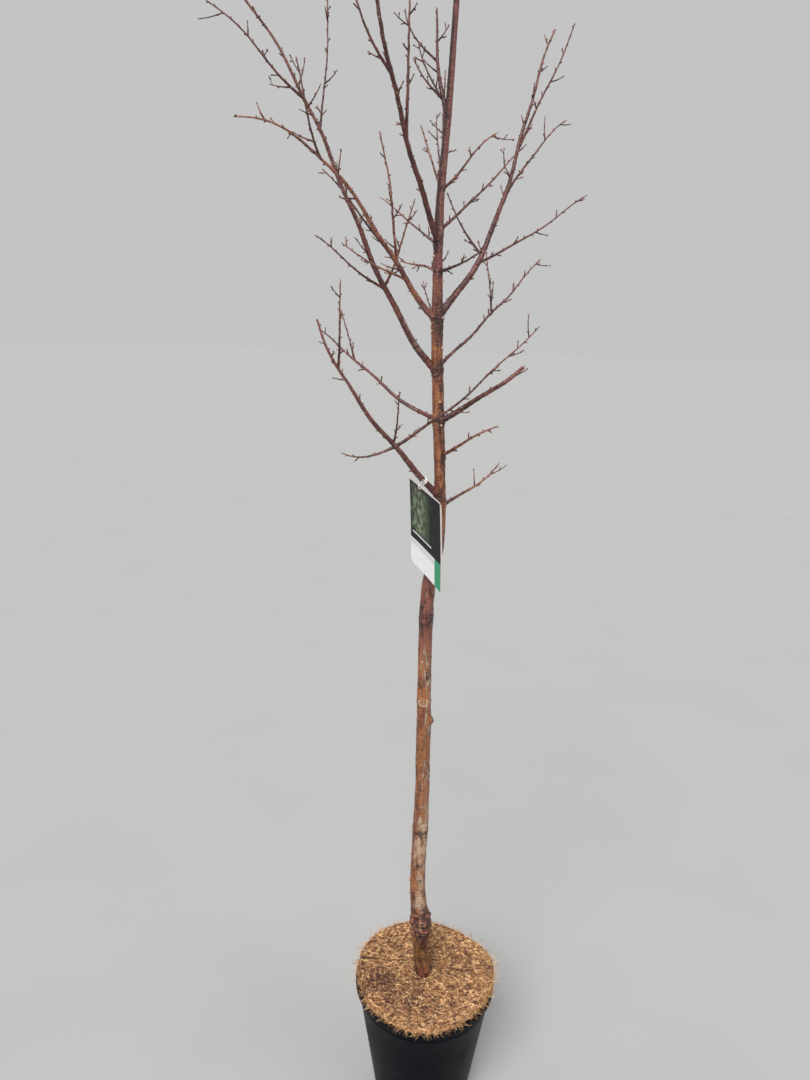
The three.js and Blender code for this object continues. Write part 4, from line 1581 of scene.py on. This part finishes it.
    def _spur(self, mass: Joined, path: LimbPath, tint: int) -> None:
        """Make a fine twig with its buds.

        Args:
            mass: where it is added.
            path: its course.
            tint: number of its finish.
        """
        spans = max(3, round(path.limb.length / self.spur_ring_spacing))
        distances = np.linspace(0, path.limb.length, spans + 1)
        bark = Bark(distances, path.radius(distances), self.spur_sides, self.spur_seed)
        bark.shift = path.limb.bearing % 29
        bark.relief += 0.16 * (np.arange(spans + 1) % 2)[:, None] * bark.radius
        bark.dark += 0.35
        bark.lay_on(mass, *path.course(distances), path.across, tint)
        self._tip_buds(path)

    def _tip_buds(self, path: LimbPath) -> None:
        """Set a bud on a tip, and two or three beside it on a longer spur.

        Args:
            path: the limb.
        """
        tip, ahead = path.course(np.array([path.limb.length]))
        self._bud(tip[0], ahead[0], self.spray.uniform(*self.bud_size))
        if path.limb.length < 7 or self.spray.random() < 0.35:
            return
        across, over = squared_off(path.across, ahead)
        for number in range(int(self.spray.integers(1, 4))):
            around = math.radians(GOLDEN_ANGLE * number) + path.limb.bearing
            back = self.spray.uniform(0.6, 3.2) * (number + 1) * 0.7
            out = math.cos(around) * across[0] + math.sin(around) * over[0]
            spot = tip[0] - ahead[0] * back + out * path.limb.thick[1] * 0.35
            self._bud(spot, unit(ahead[0] + out * 0.8), self.spray.uniform(*self.bud_size) * 0.85)

    def _bud(self, spot: Array, way: Array, size: float) -> None:
        """Note one bud by where it stands, where it points and its length."""
        self.buds.append((spot, way, size, int(self.spray.choice(len(BUD_SHARES), p=BUD_SHARES))))

    def _build_buds(self) -> None:
        """Join all buds into two pieces, the dark ones and the pale ones."""
        shape = bmesh.new()
        bmesh.ops.create_uvsphere(shape, u_segments=6, v_segments=6, radius=1.0)
        form = Form(shape)
        height = form.spots[:, 2:3]
        waist = 0.40 * (1 - 0.38 * held(height) ** 1.3 + 0.10 * held(-height))
        spots = np.concatenate([form.spots[:, :2] * waist, height * 0.5 + 0.36], axis=1)
        for name, kinds in BUD_PIECES.items():
            joined = Joined()
            for spot, way, size, kind in self.buds:
                if kind in kinds:
                    across, over = squared_off(np.array([0.31, 0.87, 0.38]), way)
                    turned = spots @ np.stack([across, over, way]) * size
                    joined.add(form, spot + turned, kinds.index(kind))
            hand_over(joined.build(name, [BUD_FINISHES[kind].make() for kind in kinds]), "twigs")
        log.info("%d buds", len(self.buds))


# Pot and compost


@dataclass
class Pot:
    """Tapering nursery pot with a folded lip, and its filling of compost.

    A row outside has a height, a rise from there and how far it stands out from the taper; a row inside has a
    height and how far it stands out; a row of the lip has a radius and a height from the top.
    """

    rim: float = 139.0
    base: float = 95.0
    height: float = 270.0
    wall: float = 2.0
    floor: float = 3.0
    lip: float = 4.0
    compost_depth: float = 17.0
    gap: float = 0.3
    steps: int = 144
    foot: Rows = ((0, 0.8), (84, 0.8), (85.5, 0), (93, 0), (95.2, 1.6))
    outside: tuple[Triple, ...] = (
        (9, 0, 0), (10, 0.6, 0), (60, 0, 0), (120, 0, 0), (180, 0, 0), (236, 0, 0), (238, 0, 0.5),
        (240, 0.4, 0.5), (242, 0.4, 0), (256, 0, 0),
    )
    folded_lip: Rows = ((137.2, -14), (138.6, -12.8), (138.6, -9), (139, -7.4), (139, -1.6), (137.6, 0))
    inside: Rows = ((270, -0.6), (267, -2), (230, -2), (3, -2))
    dent_seed: int = 41
    ground_seed: int = 43
    crumb_seed: int = 47
    crumbs: int = 900
    crumb_reach: float = 118.0
    crumb_size: Pair = (0.9, 2.6)

    def wall_at(self, height: float) -> float:
        """Outer radius of the wall at a height."""
        return self.base + (self.rim - self.lip - self.base) * height / self.height

    def _spun(self, profile: list[Pair]) -> Shape:
        """Turn a profile round the pot's axle.

        Args:
            profile: radius and height of its corners, from axle to axle.

        Returns:
            The closed shape.
        """
        shape = bmesh.new()
        corners = [shape.verts.new((radius, 0, height)) for radius, height in profile]
        edges = [shape.edges.new(pair) for pair in zip(corners, corners[1:])]
        bmesh.ops.spin(shape, geom=corners + edges, cent=(0, 0, 0), axis=(0, 0, 1), angle=TURN,
                       steps=self.steps, use_merge=True)
        bmesh.ops.remove_doubles(shape, verts=shape.verts, dist=0.001)
        bmesh.ops.recalc_face_normals(shape, faces=shape.faces)
        return shape

    def build(self) -> None:
        """Make the pot."""
        profile = [*self.foot]
        profile += [(self.wall_at(height) + out, height + rise) for height, rise, out in self.outside]
        profile += [(radius, self.height + rise) for radius, rise in self.folded_lip]
        profile += [(self.wall_at(height) + out, height) for height, out in self.inside]
        shape = self._spun([*profile, (0, self.floor)])
        sharp = [e for e in shape.edges if len(e.link_faces) == 2 and e.calc_face_angle() > 0.6
                 and abs(e.verts[0].co.z - e.verts[1].co.z) < 0.01]
        bmesh.ops.bevel(shape, geom=sharp, affect="EDGES", offset=0.45, segments=2, profile=0.5, material=-1)
        self._dent(shape)
        hand_over(piece_of(shape, "pot_shell", PotFinish().make()), "pot_plastic", "pot")

    def _dent(self, shape: Shape) -> None:
        """Take the wall a little out of round.

        Args:
            shape: the pot.
        """
        noise = SoftNoise(self.dent_seed)
        for vert in shape.verts:
            reach = math.hypot(vert.co.x, vert.co.y)
            if reach > 80:
                turn, lift = math.atan2(vert.co.y, vert.co.x), vert.co.z / self.height
                dent = 0.35 * noise.at(2.2 * math.cos(turn) + 9, 2.2 * math.sin(turn) + 9, lift * 3.0)
                sway = (dent + 0.3 * math.sin(2 * turn + 0.7)) * lift * (1 - 0.6 * lift)
                vert.co.x += vert.co.x / reach * sway
                vert.co.y += vert.co.y / reach * sway

    def build_compost(self) -> None:
        """Make the compost, and scatter crumbs on it."""
        inset, ground, bottom = self.wall + self.gap, self.height - self.compost_depth, self.floor + self.gap
        profile = [(0, bottom), (self.wall_at(bottom) - inset, bottom)]
        profile += [(self.wall_at(ground) - inset, ground - 1)]
        shape = self._spun([*profile, *((radius, ground) for radius in range(128, 16, -3)), (0, ground)])
        noise = SoftNoise(self.ground_seed)
        for vert in shape.verts:
            if vert.co.z > ground - 0.5 and math.hypot(vert.co.x, vert.co.y) > 20:
                vert.co.z += 1.1 * noise.at(vert.co.x / 7, vert.co.y / 7, 0.0) - 0.9
        finish = CompostFinish().make()
        hand_over(piece_of(shape, "compost_fill", finish), "compost", "compost")
        ball = bmesh.new()
        bmesh.ops.create_icosphere(ball, subdivisions=1, radius=1.0)
        form, joined, draws = Form(ball), Joined(), np.random.default_rng(self.crumb_seed)
        for _ in range(self.crumbs):
            reach, turn = self.crumb_reach * math.sqrt(draws.uniform(0.03, 1)), draws.uniform(0, TURN)
            size = draws.uniform(*self.crumb_size) * draws.uniform(0.6, 1, 3)
            lumpy = form.spots * (1 + draws.uniform(-0.25, 0.25, (len(form.spots), 1))) * size
            spot = (reach * math.cos(turn), reach * math.sin(turn), ground + draws.uniform(0, 1))
            joined.add(form, lumpy + spot)
        hand_over(joined.build("compost_crumbs", [finish]), "compost")


# Coir mat


@dataclass(frozen=True)
class FibreKind:
    """One colour of loose fibres.

    fringe is the share of those tried that stands out at the edge, and clean the share that stays where the
    mat is clean; a blotch adds blotched to it.
    """

    piece: str
    finish: SpeckledFinish
    tried: int
    fringe: float
    clean: float
    blotched: float


FIBRE_KINDS: tuple[FibreKind, ...] = (
    FibreKind("coir_fibres_gold", fibre_finish("fibre_gold", (0.93, 0.615, 0.315), (0.52, 0.265, 0.100)),
              3600, 0.26, 1.0, -1.0),
    FibreKind("coir_fibres_tan", fibre_finish("fibre_tan", (0.54, 0.285, 0.128), (0.22, 0.090, 0.040)),
              3900, 0.12, 0.95, -0.6),
    FibreKind("coir_fibres_dark", fibre_finish("fibre_dark", (0.150, 0.060, 0.042), (0.040, 0.015, 0.012)),
              4600, 0.02, 0.42, 0.58),
)


@dataclass
class CoirMat:
    """Mulch mat: a matted sheet with a hole for the stem and a slit to its edge, under loose fibres.

    A row of the edge is a bearing and a radius, the hole a place and a radius, and a blotch a place, a size
    and a strength.
    """

    middle: Pair = (1, -3)
    thick: float = 10.0
    bottom: float = 270.3
    edge: Rows = (
        (0, 139), (20, 143), (55, 134), (90, 140), (128, 145), (158, 141), (182, 135), (200, 134), (219, 138),
        (232, 136), (262, 140), (288, 136), (320, 130), (345, 134), (360, 139),
    )
    hole: Triple = (-4, 2, 24)
    slit_from: Pair = (-20, 20)
    slit_bearing: float = 174.0
    slit_wide: float = 5.0
    around: int = 300
    outward: int = 58
    blotches: tuple[tuple[float, float, float, float], ...] = (
        (-97, -20, 40, 1.25), (-78, -58, 34, 1.05), (-30, -84, 34, 0.75), (18, -76, 26, 0.55),
        (60, 10, 50, 0.4), (-10, 60, 30, 0.45), (-62, 84, 26, 0.35), (84, -52, 24, 0.35), (-52, 34, 12, 0.5),
    )
    bare_spot: Triple = (-17, -21, math.sqrt(110))
    gold_spot: Triple = (-110, -80, 30)
    seed: int = 53
    fibre_seed: int = 59
    tries: int = 4
    fibre_taper: tuple[float, ...] = (0.7, 1, 1, 1, 0.95, 0.8, 0.4)

    def __post_init__(self) -> None:
        """Fill the noise, and work out the slit's direction and the edge as seen from the hole."""
        self.noise = SoftNoise(self.seed)
        self.slit_way = towards(self.slit_bearing)[:2]
        bearings = np.linspace(0, 360, 721)
        reach = read_smooth(self.edge, bearings)
        x = self.middle[0] + reach * np.cos(np.radians(bearings)) - self.hole[0]
        y = self.middle[1] + reach * np.sin(np.radians(bearings)) - self.hole[1]
        self.edge_turns, self.edge_reaches = np.unwrap(np.arctan2(y, x)), np.hypot(x, y)

    def _edge_reach(self, turns: Array) -> Array:
        """Distance from the hole's middle to the mat's edge, along directions from that middle."""
        return np.interp(turns, self.edge_turns, self.edge_reaches, period=TURN)

    def _from_hole(self, x: Array, y: Array) -> tuple[Array, Array]:
        """Distances of places from the hole's middle, and of the mat's edge beyond them."""
        x, y = x - self.hole[0], y - self.hole[1]
        return np.hypot(x, y), self._edge_reach(np.arctan2(y, x))

    def _beside_slit(self, spots: Array) -> tuple[Array, Array]:
        """Distances of corners along the slit from its start and across it."""
        away = spots[:, :2] - self.slit_from
        return away @ self.slit_way, away @ np.array([-self.slit_way[1], self.slit_way[0]])

    def _slit_turn(self, reach: Array) -> Array:
        """Direction from the hole's middle in which the slit lies at a distance.

        Args:
            reach: the distance.

        Returns:
            The direction in radians.
        """
        start = np.array(self.slit_from) - self.hole[:2]
        along = float(start @ self.slit_way)
        travel = -along + np.sqrt(np.maximum(along**2 - start @ start + reach**2, 0))
        return np.arctan2(start[1] + self.slit_way[1] * travel, start[0] + self.slit_way[0] * travel)

    def _place(self, share: Array, out: Array) -> tuple[Array, Array]:
        """Where a share round the mat and a share outwards lie.

        Args:
            share: 0 to 1 round from one lip of the slit to the other.
            out: 0 at the hole to 1 at the edge.

        Returns:
            The two coordinates.
        """
        reach = self.hole[2] + 40 * out
        for _ in range(5):
            room = self.slit_wide / 2 / reach
            turn = self._slit_turn(reach) + room + (TURN - 2 * room) * share
            reach = self.hole[2] + (self._edge_reach(turn) - self.hole[2]) * out
        return self.hole[0] + reach * np.cos(turn), self.hole[1] + reach * np.sin(turn)

    def _lift(self, x: Array, y: Array, out: Array) -> Array:
        """Height of the sheet's upper face above its lower one.

        Args:
            x: first coordinate.
            y: second coordinate.
            out: share of the way from the hole to the edge.

        Returns:
            The height.
        """
        rolls = 0.9 * self.noise.at(x / 26 + 5, y / 26 + 5, 0.0) + 0.55 * self.noise.at(x / 7, y / 7, 3.0)
        tufts = 0.35 * self.noise.at(x / 2.4, y / 2.4, 9.0)
        return self.thick + rolls + tufts - (2.6 * hump((1 - out) / 0.02) + 1.6 * hump(out / 0.03))

    def build(self) -> None:
        """Make the matted sheet and three colours of loose fibres over it."""
        sheet = bmesh.new()
        bmesh.ops.create_grid(sheet, x_segments=self.around, y_segments=self.outward, size=0.5)
        places = np.array([v.co for v in sheet.verts]) + 0.5
        x, y = self._place(places[:, 0], places[:, 1])
        z = self.bottom + self._lift(x, y, places[:, 1])
        for vert, spot in zip(sheet.verts, np.stack([x, y, z], axis=1)):
            vert.co = spot
        sheet.normal_update()
        if sum(face.normal.z for face in sheet.faces) < 0:
            bmesh.ops.reverse_faces(sheet, faces=sheet.faces)
        bmesh.ops.solidify(sheet, geom=sheet.faces[:], thickness=self.thick - 0.9)
        for vert in sheet.verts:
            vert.co.z = max(vert.co.z, self.bottom)
        piece = piece_of(sheet, "coir_felt", CoirFinish().make())
        self._colour(piece.data)
        hand_over(piece, "coir", "coir_mat")
        self._build_fibres()

    def _colour(self, mesh: bpy.types.Mesh) -> None:
        """Deal out the blotches, the golden coir and the painted shade deep in the slit and round the hole.

        Args:
            mesh: the sheet's mesh.
        """
        spots = np.empty(len(mesh.vertices) * 3)
        mesh.vertices.foreach_get("co", spots)
        spots = spots.reshape(-1, 3) / MM
        x, y = spots[:, 0], spots[:, 1]
        blotch, gold = self._blotch(x, y), self._gold(x, y)
        along, across = self._beside_slit(spots)
        inner = np.interp(along, (4, 10, 50, 75), (0, 0.55, 0.6, 1.25)) * plateau(across / 4.2)
        inner += plateau((self._from_hole(x, y)[0] - self.hole[2]) / 3)
        # painted shade, deepest low on the walls of the slit and hole
        depth = np.clip((self.bottom + self.thick - spots[:, 2]) / 5, 0.75, 1) * held(inner)
        carry(mesh, "shares", np.stack([blotch, gold, depth, 0 * gold], axis=1))

    def _blotch(self, x: Array, y: Array) -> Array:
        """Share of the dark purple-brown blotches."""
        total = sum(depth * dab(x, y, at_x, at_y, size * 0.72) for at_x, at_y, size, depth in self.blotches)
        return held(total * (0.9 + 0.5 * self.noise.at(x / 9, y / 9, 21.0)))

    def _gold(self, x: Array, y: Array) -> Array:
        """Share of clean golden coir, along the edge, round the hole and near the front left."""
        reach, edge = self._from_hole(x, y)
        return held(hump((edge - reach) / 14) + 0.8 * hump((reach - 32) / 9) + dab(x, y, *self.gold_spot) / 2)

    def _build_fibres(self) -> None:
        """Lay loose curling fibres on the sheet and let some stand out round its edges."""
        draws = np.random.default_rng(self.fibre_seed)
        tube = tube_of(3, 6)
        for kind in FIBRE_KINDS:
            joined, count = Joined(), kind.tried
            share, out = draws.uniform(0, 1, count), np.sqrt(draws.uniform(0.0, 1.0, count))
            fringe = draws.uniform(0, 1, count) < kind.fringe
            out = np.where(fringe, draws.uniform(0.985, 1.0, count), out * 0.985)
            lining = draws.uniform(0, 1, count) < 0.05
            out = np.where(lining & ~fringe, draws.uniform(0, 0.02, count), out)
            x, y = self._place(share, out)
            keep = draws.uniform(0, 1, count) < kind.clean + kind.blotched * self._blotch(x, y)
            keep &= draws.uniform(0, 1, count) > dab(x, y, *self.bare_spot) * 1.4
            for i in np.flatnonzero(keep):
                for _ in range(self.tries):
                    spots = self._fibre(draws, x[i], y[i], bool(fringe[i]), tube)
                    if self._lies_well(spots, bool(fringe[i])):
                        joined.add(tube, spots)
                        break
            hand_over(joined.build(kind.piece, [kind.finish.make()]), "coir")

    def _lies_well(self, spots: Array, fringe: bool) -> bool:
        """Tell whether a fibre keeps off the outer slit and, unless it is of the fringe, within the edge.

        Args:
            spots: its corners.
            fringe: whether it is of the fringe.

        Returns:
            True where it does.
        """
        along, across = self._beside_slit(spots)
        beside = across[along > 45]
        if len(beside) and beside.min() < 1.2 and beside.max() > -1.2:
            return False
        reach, edge = self._from_hole(spots[:, 0], spots[:, 1])
        return fringe or float((reach - edge).max()) < 1.5

    def _fibre(self, draws: np.random.Generator, x: float, y: float, fringe: bool, tube: TubeShape) -> Array:
        """One curling fibre.

        Args:
            draws: the mat's random draws.
            x: where it starts.
            y: where it starts.
            fringe: whether it stands out over the edge.
            tube: the fibre's shape.

        Returns:
            Its corners.
        """
        outward = math.atan2(y - self.hole[1], x - self.hole[0])
        turn = outward + draws.normal(0, 0.9) if fringe else draws.uniform(0, TURN)
        length = 4 + 17 * draws.uniform() ** 2.4 if fringe else draws.uniform(10, 38)
        bend = draws.normal(0, 0.5 if fringe else 1.1) / 6
        twist = draws.normal(0, 0.12 if fringe else 0.32)
        steps = turn + bend * np.arange(6) + twist * np.sin(np.arange(6) * 1.7)
        flat = np.cumsum(np.stack([np.cos(steps), np.sin(steps)], axis=1), axis=0) * length / 6
        x, y = (np.vstack([[0, 0], flat]) + (x, y)).T
        reach, edge = self._from_hole(x, y)
        out = held((reach - self.hole[2]) / (edge - self.hole[2]))
        lift = draws.uniform(-0.2, 1.5) + draws.uniform(0, 2.2) * np.sin(np.linspace(0, math.pi, 7)) ** 2
        if fringe:
            lift = draws.uniform(-2.6, 3.4)
        height = self.bottom + self._lift(x, y, out) + lift
        height = height - np.clip(reach - edge, 0, 9) * draws.uniform(-0.30, 0.22)
        height = height - np.clip(self.hole[2] - reach, 0, 9) * 0.5
        middles = np.stack([x, y, height], axis=1)
        stout = draws.uniform(0.20, 0.42) * (0.7 if fringe else 1 + 1.9 * draws.uniform() ** 3)
        rings = squared_off(UP, unit(np.gradient(middles, axis=0)))
        return tube.laid(middles, stout * np.array(self.fibre_taper), *rings)


# Card


@dataclass
class HangingCard:
    """Printed card, hung by a white tie from the lowest left bough."""

    stem: Stem
    wide: float = 151.0
    tall: float = 155.0
    thick: float = 0.8
    corner: float = 12.0
    bearing: float = 288.8
    tilt: float = 4.4
    lean: float = 4.7
    hole_radius: float = 1.8
    hole_below: float = 4.0
    hole_left: float = 57.5
    tie_thick: float = 1.6
    tie_along: float = 44.7
    gap: float = 0.3
    columns: int = 60
    rows: int = 62

    def __post_init__(self) -> None:
        """Find the bough's course and the point under the tie's ring from which the card hangs."""
        limb = BOUGHS["low_left"]
        self.path = LimbPath(self.stem.middle(limb.start), limb)
        point, ahead, radius = self.path.station(self.tie_along)
        downhill = unit(-UP + ahead * ahead[2])
        ring_bottom = point + downhill * (radius + self.gap + self.tie_thick / 2)
        self.hang = ring_bottom - UP * (self.hole_below + self.tie_thick)

    def build(self) -> None:
        """Make the card and its tie."""
        card = bmesh.new()
        bmesh.ops.create_grid(card, x_segments=self.columns, y_segments=self.rows, size=0.5)
        bmesh.ops.scale(card, vec=(self.wide, self.tall, 1), verts=card.verts)
        self._round_corner(card, 1, 1)
        self._round_corner(card, -1, -1)
        bmesh.ops.translate(card, vec=(self.wide / 2 - self.hole_left, -self.tall / 2, 0), verts=card.verts)
        hole = Vector((0, -self.hole_below, 0))
        near = min(card.verts, key=lambda v: (v.co - hole).length)
        near.co = hole
        bmesh.ops.bevel(card, geom=[near], affect="VERTICES", offset=self.hole_radius, segments=3,
                        profile=0.5, material=-1)
        ring = min(card.faces, key=lambda f: (f.calc_center_median() - hole).length)
        bmesh.ops.delete(card, geom=[ring], context="FACES_ONLY")
        bmesh.ops.recalc_face_normals(card, faces=card.faces)
        if card.faces[:][0].normal.z < 0:
            bmesh.ops.reverse_faces(card, faces=card.faces)
        bmesh.ops.solidify(card, geom=card.faces[:], thickness=self.thick)
        bmesh.ops.translate(card, vec=(0, 0, self.thick / 2), verts=card.verts)
        self._wrap(card)
        self._build_tie()

    def _round_corner(self, card: Shape, right: int, up: int) -> None:
        """Round one corner of the flat card.

        Args:
            card: the card about its middle.
            right: 1 for a right corner and -1 for a left one.
            up: 1 for an upper corner and -1 for a lower one.
        """
        size = self.corner
        for vert in card.verts:
            a = (vert.co.x * right - (self.wide / 2 - size)) / size
            b = (vert.co.y * up - (self.tall / 2 - size)) / size
            if a > 0 and b > 0:
                vert.co.x = right * (self.wide / 2 - size + size * a * math.sqrt(1 - b * b / 2))
                vert.co.y = up * (self.tall / 2 - size + size * b * math.sqrt(1 - a * a / 2))

    def _wrap(self, card: Shape) -> None:
        """Curl the card a little, hang it and dress it.

        Args:
            card: the flat card about its hanging point.
        """
        places = np.array([v.co for v in card.verts])
        places[:, 2] -= (places[:, 2].max() + places[:, 2].min()) / 2
        across = (places[:, 0] + self.hole_left) / self.wide
        down = -places[:, 1] / self.tall
        front = (places[:, 2] > 0).astype(float)
        curl = 1.5 * (across - 0.5) ** 2 * 4 * down - 0.9 * np.sin(down * 3.0) - 0.6 * (across - 0.4) ** 2
        for vert, lift in zip(card.verts, curl):
            vert.co.z += lift
        placing = Matrix.Translation(Vector(self.hang))
        for degrees, axis in ((self.bearing, "Z"), (90 + self.lean, "X"), (-self.tilt, "Z")):
            placing = placing @ Matrix.Rotation(math.radians(degrees), 4, axis)
        bmesh.ops.transform(card, matrix=placing, verts=card.verts)
        piece = piece_of(card, "card", CardFinish().make())
        carry(piece.data, "card", np.stack([across, down, front], axis=1))
        piece.data.polygons.foreach_set("use_smooth", np.zeros(len(piece.data.polygons), bool))
        hand_over(piece, "label_card", "label")

    def _build_tie(self) -> None:
        """Wind the tie round the bough and through the card's hole."""
        half = self.tie_thick / 2
        turns = np.linspace(0, 3.2 * TURN, 110)
        along = self.tie_along - 3.4 + 2.2 * turns / TURN
        point, ahead = self.path.course(along)
        across, over = squared_off(self.path.across, ahead)
        reach = (self.path.radius(along) * 1.06 + half)[:, None]
        angle = (turns - 1.2)[:, None]
        wound = point + reach * (np.cos(angle) * across + np.sin(angle) * over)
        out = np.cross(towards(self.bearing), UP)
        angle = np.linspace(math.pi / 2, math.pi / 2 + TURN, 26)[:, None]
        loop = self.hang + self.hole_below * (np.sin(angle) * UP + np.cos(angle) * out)
        strand = wound[-1] + (loop[0] - wound[-1]) * np.linspace(0, 1, 12)[1:-1, None]
        self._lay(np.vstack([wound, strand, loop]), half)

    @staticmethod
    def _lay(middles: Array, radius: float) -> None:
        """Lay the tie's tube along its line.

        Args:
            middles: points of the line.
            radius: of the tie.
        """
        ahead = unit(np.gradient(middles, axis=0))
        across = np.empty_like(middles)
        across[0] = squared_off(np.array([0.3, 0.2, 0.9]), ahead[0])[0]
        for i in range(1, len(middles)):
            across[i] = squared_off(across[i - 1], ahead[i])[0]
        tube = tube_of(10, len(middles) - 1)
        radii = np.full(len(middles), radius)
        radii[[0, -1]] /= 2
        joined = Joined()
        joined.add(tube, tube.laid(middles, radii, across, np.cross(ahead, across)))
        hand_over(joined.build("card_tie", [TIE_FINISH.make()]), "tie", "label_tie")


# Studio


@dataclass
class Studio:
    """Floor, lights and camera; a light has a name, a side that it comes from, a strength and a width."""

    lens: float = 800 / 1080 * 36
    pitch: float = 16.1
    roll: float = 1.45
    place: Triple = (-0.0621, -1.3136, 1.5653)
    near: float = 0.05
    far: float = 100.0
    floor_size: float = 60.0
    sky: float = 0.55
    lights: tuple[tuple[str, Triple, float, float], ...] = (
        ("key", (-0.6, -1.5, 1.9), 3.1, 30),
        ("fill", (2.0, -1.0, 1.2), 0.5, 40),
        ("back", (0.4, 2.0, 1.6), 0.6, 40),
    )

    def build(self) -> None:
        """Make the camera, the floor and the lights."""
        self._build_camera()
        plane = bmesh.new()
        bmesh.ops.create_grid(plane, x_segments=2, y_segments=2, size=self.floor_size / MM / 2)
        piece_of(plane, "floor", FLOOR_FINISH.make())
        for light in self.lights:
            self._light(*light)
        world = bpy.data.worlds.new("studio")
        world.use_nodes = True
        sky = world.node_tree.nodes["Background"]
        sky.inputs["Color"].default_value = (1.0, 1.0, 1.0, 1)
        sky.inputs["Strength"].default_value = self.sky
        bpy.context.scene.world = world
        bpy.context.scene.view_settings.view_transform = "Standard"

    def _build_camera(self) -> None:
        """Set the camera at the photograph's angle."""
        pitch, roll = math.radians(self.pitch), math.radians(self.roll)
        right = Vector((1, 0, 0))
        upward = Vector((0, math.sin(pitch), math.cos(pitch)))
        forward = Vector((0, math.cos(pitch), -math.sin(pitch)))
        axis_x = math.cos(roll) * right + math.sin(roll) * upward
        axis_y = math.cos(roll) * upward - math.sin(roll) * right
        turn = Matrix((axis_x, axis_y, -forward)).transposed().to_4x4()
        data = bpy.data.cameras.new("view")
        data.lens, data.sensor_width, data.sensor_fit = self.lens, 36.0, "AUTO"
        data.clip_start, data.clip_end = self.near, self.far
        camera = bpy.data.objects.new("view", data)
        camera.matrix_world = Matrix.Translation(Vector(self.place)) @ turn
        bpy.context.scene.collection.objects.link(camera)
        bpy.context.scene.camera = camera

    @staticmethod
    def _light(name: str, place: Triple, power: float, softness: float) -> None:
        """Add one soft light from far away.

        Args:
            name: its name.
            place: the side that it comes from.
            power: its strength.
            softness: its width in degrees.
        """
        data = bpy.data.lights.new(name, "SUN")
        data.energy, data.angle = power, math.radians(softness)
        light = bpy.data.objects.new(name, data)
        light.location = place
        light.rotation_euler = (-Vector(place)).to_track_quat("-Z", "Y").to_euler()
        bpy.context.scene.collection.objects.link(light)


def main() -> None:
    """Build the studio and every sub-assembly of the tree in order."""
    logging.basicConfig(level=logging.INFO, format="%(message)s")
    Studio().build()
    stem, pot = Stem(), Pot()
    stem.build()
    Crown(stem).build()
    pot.build()
    pot.build_compost()
    CoirMat().build()
    HangingCard(stem).build()


if __name__ == "__main__":
    main()
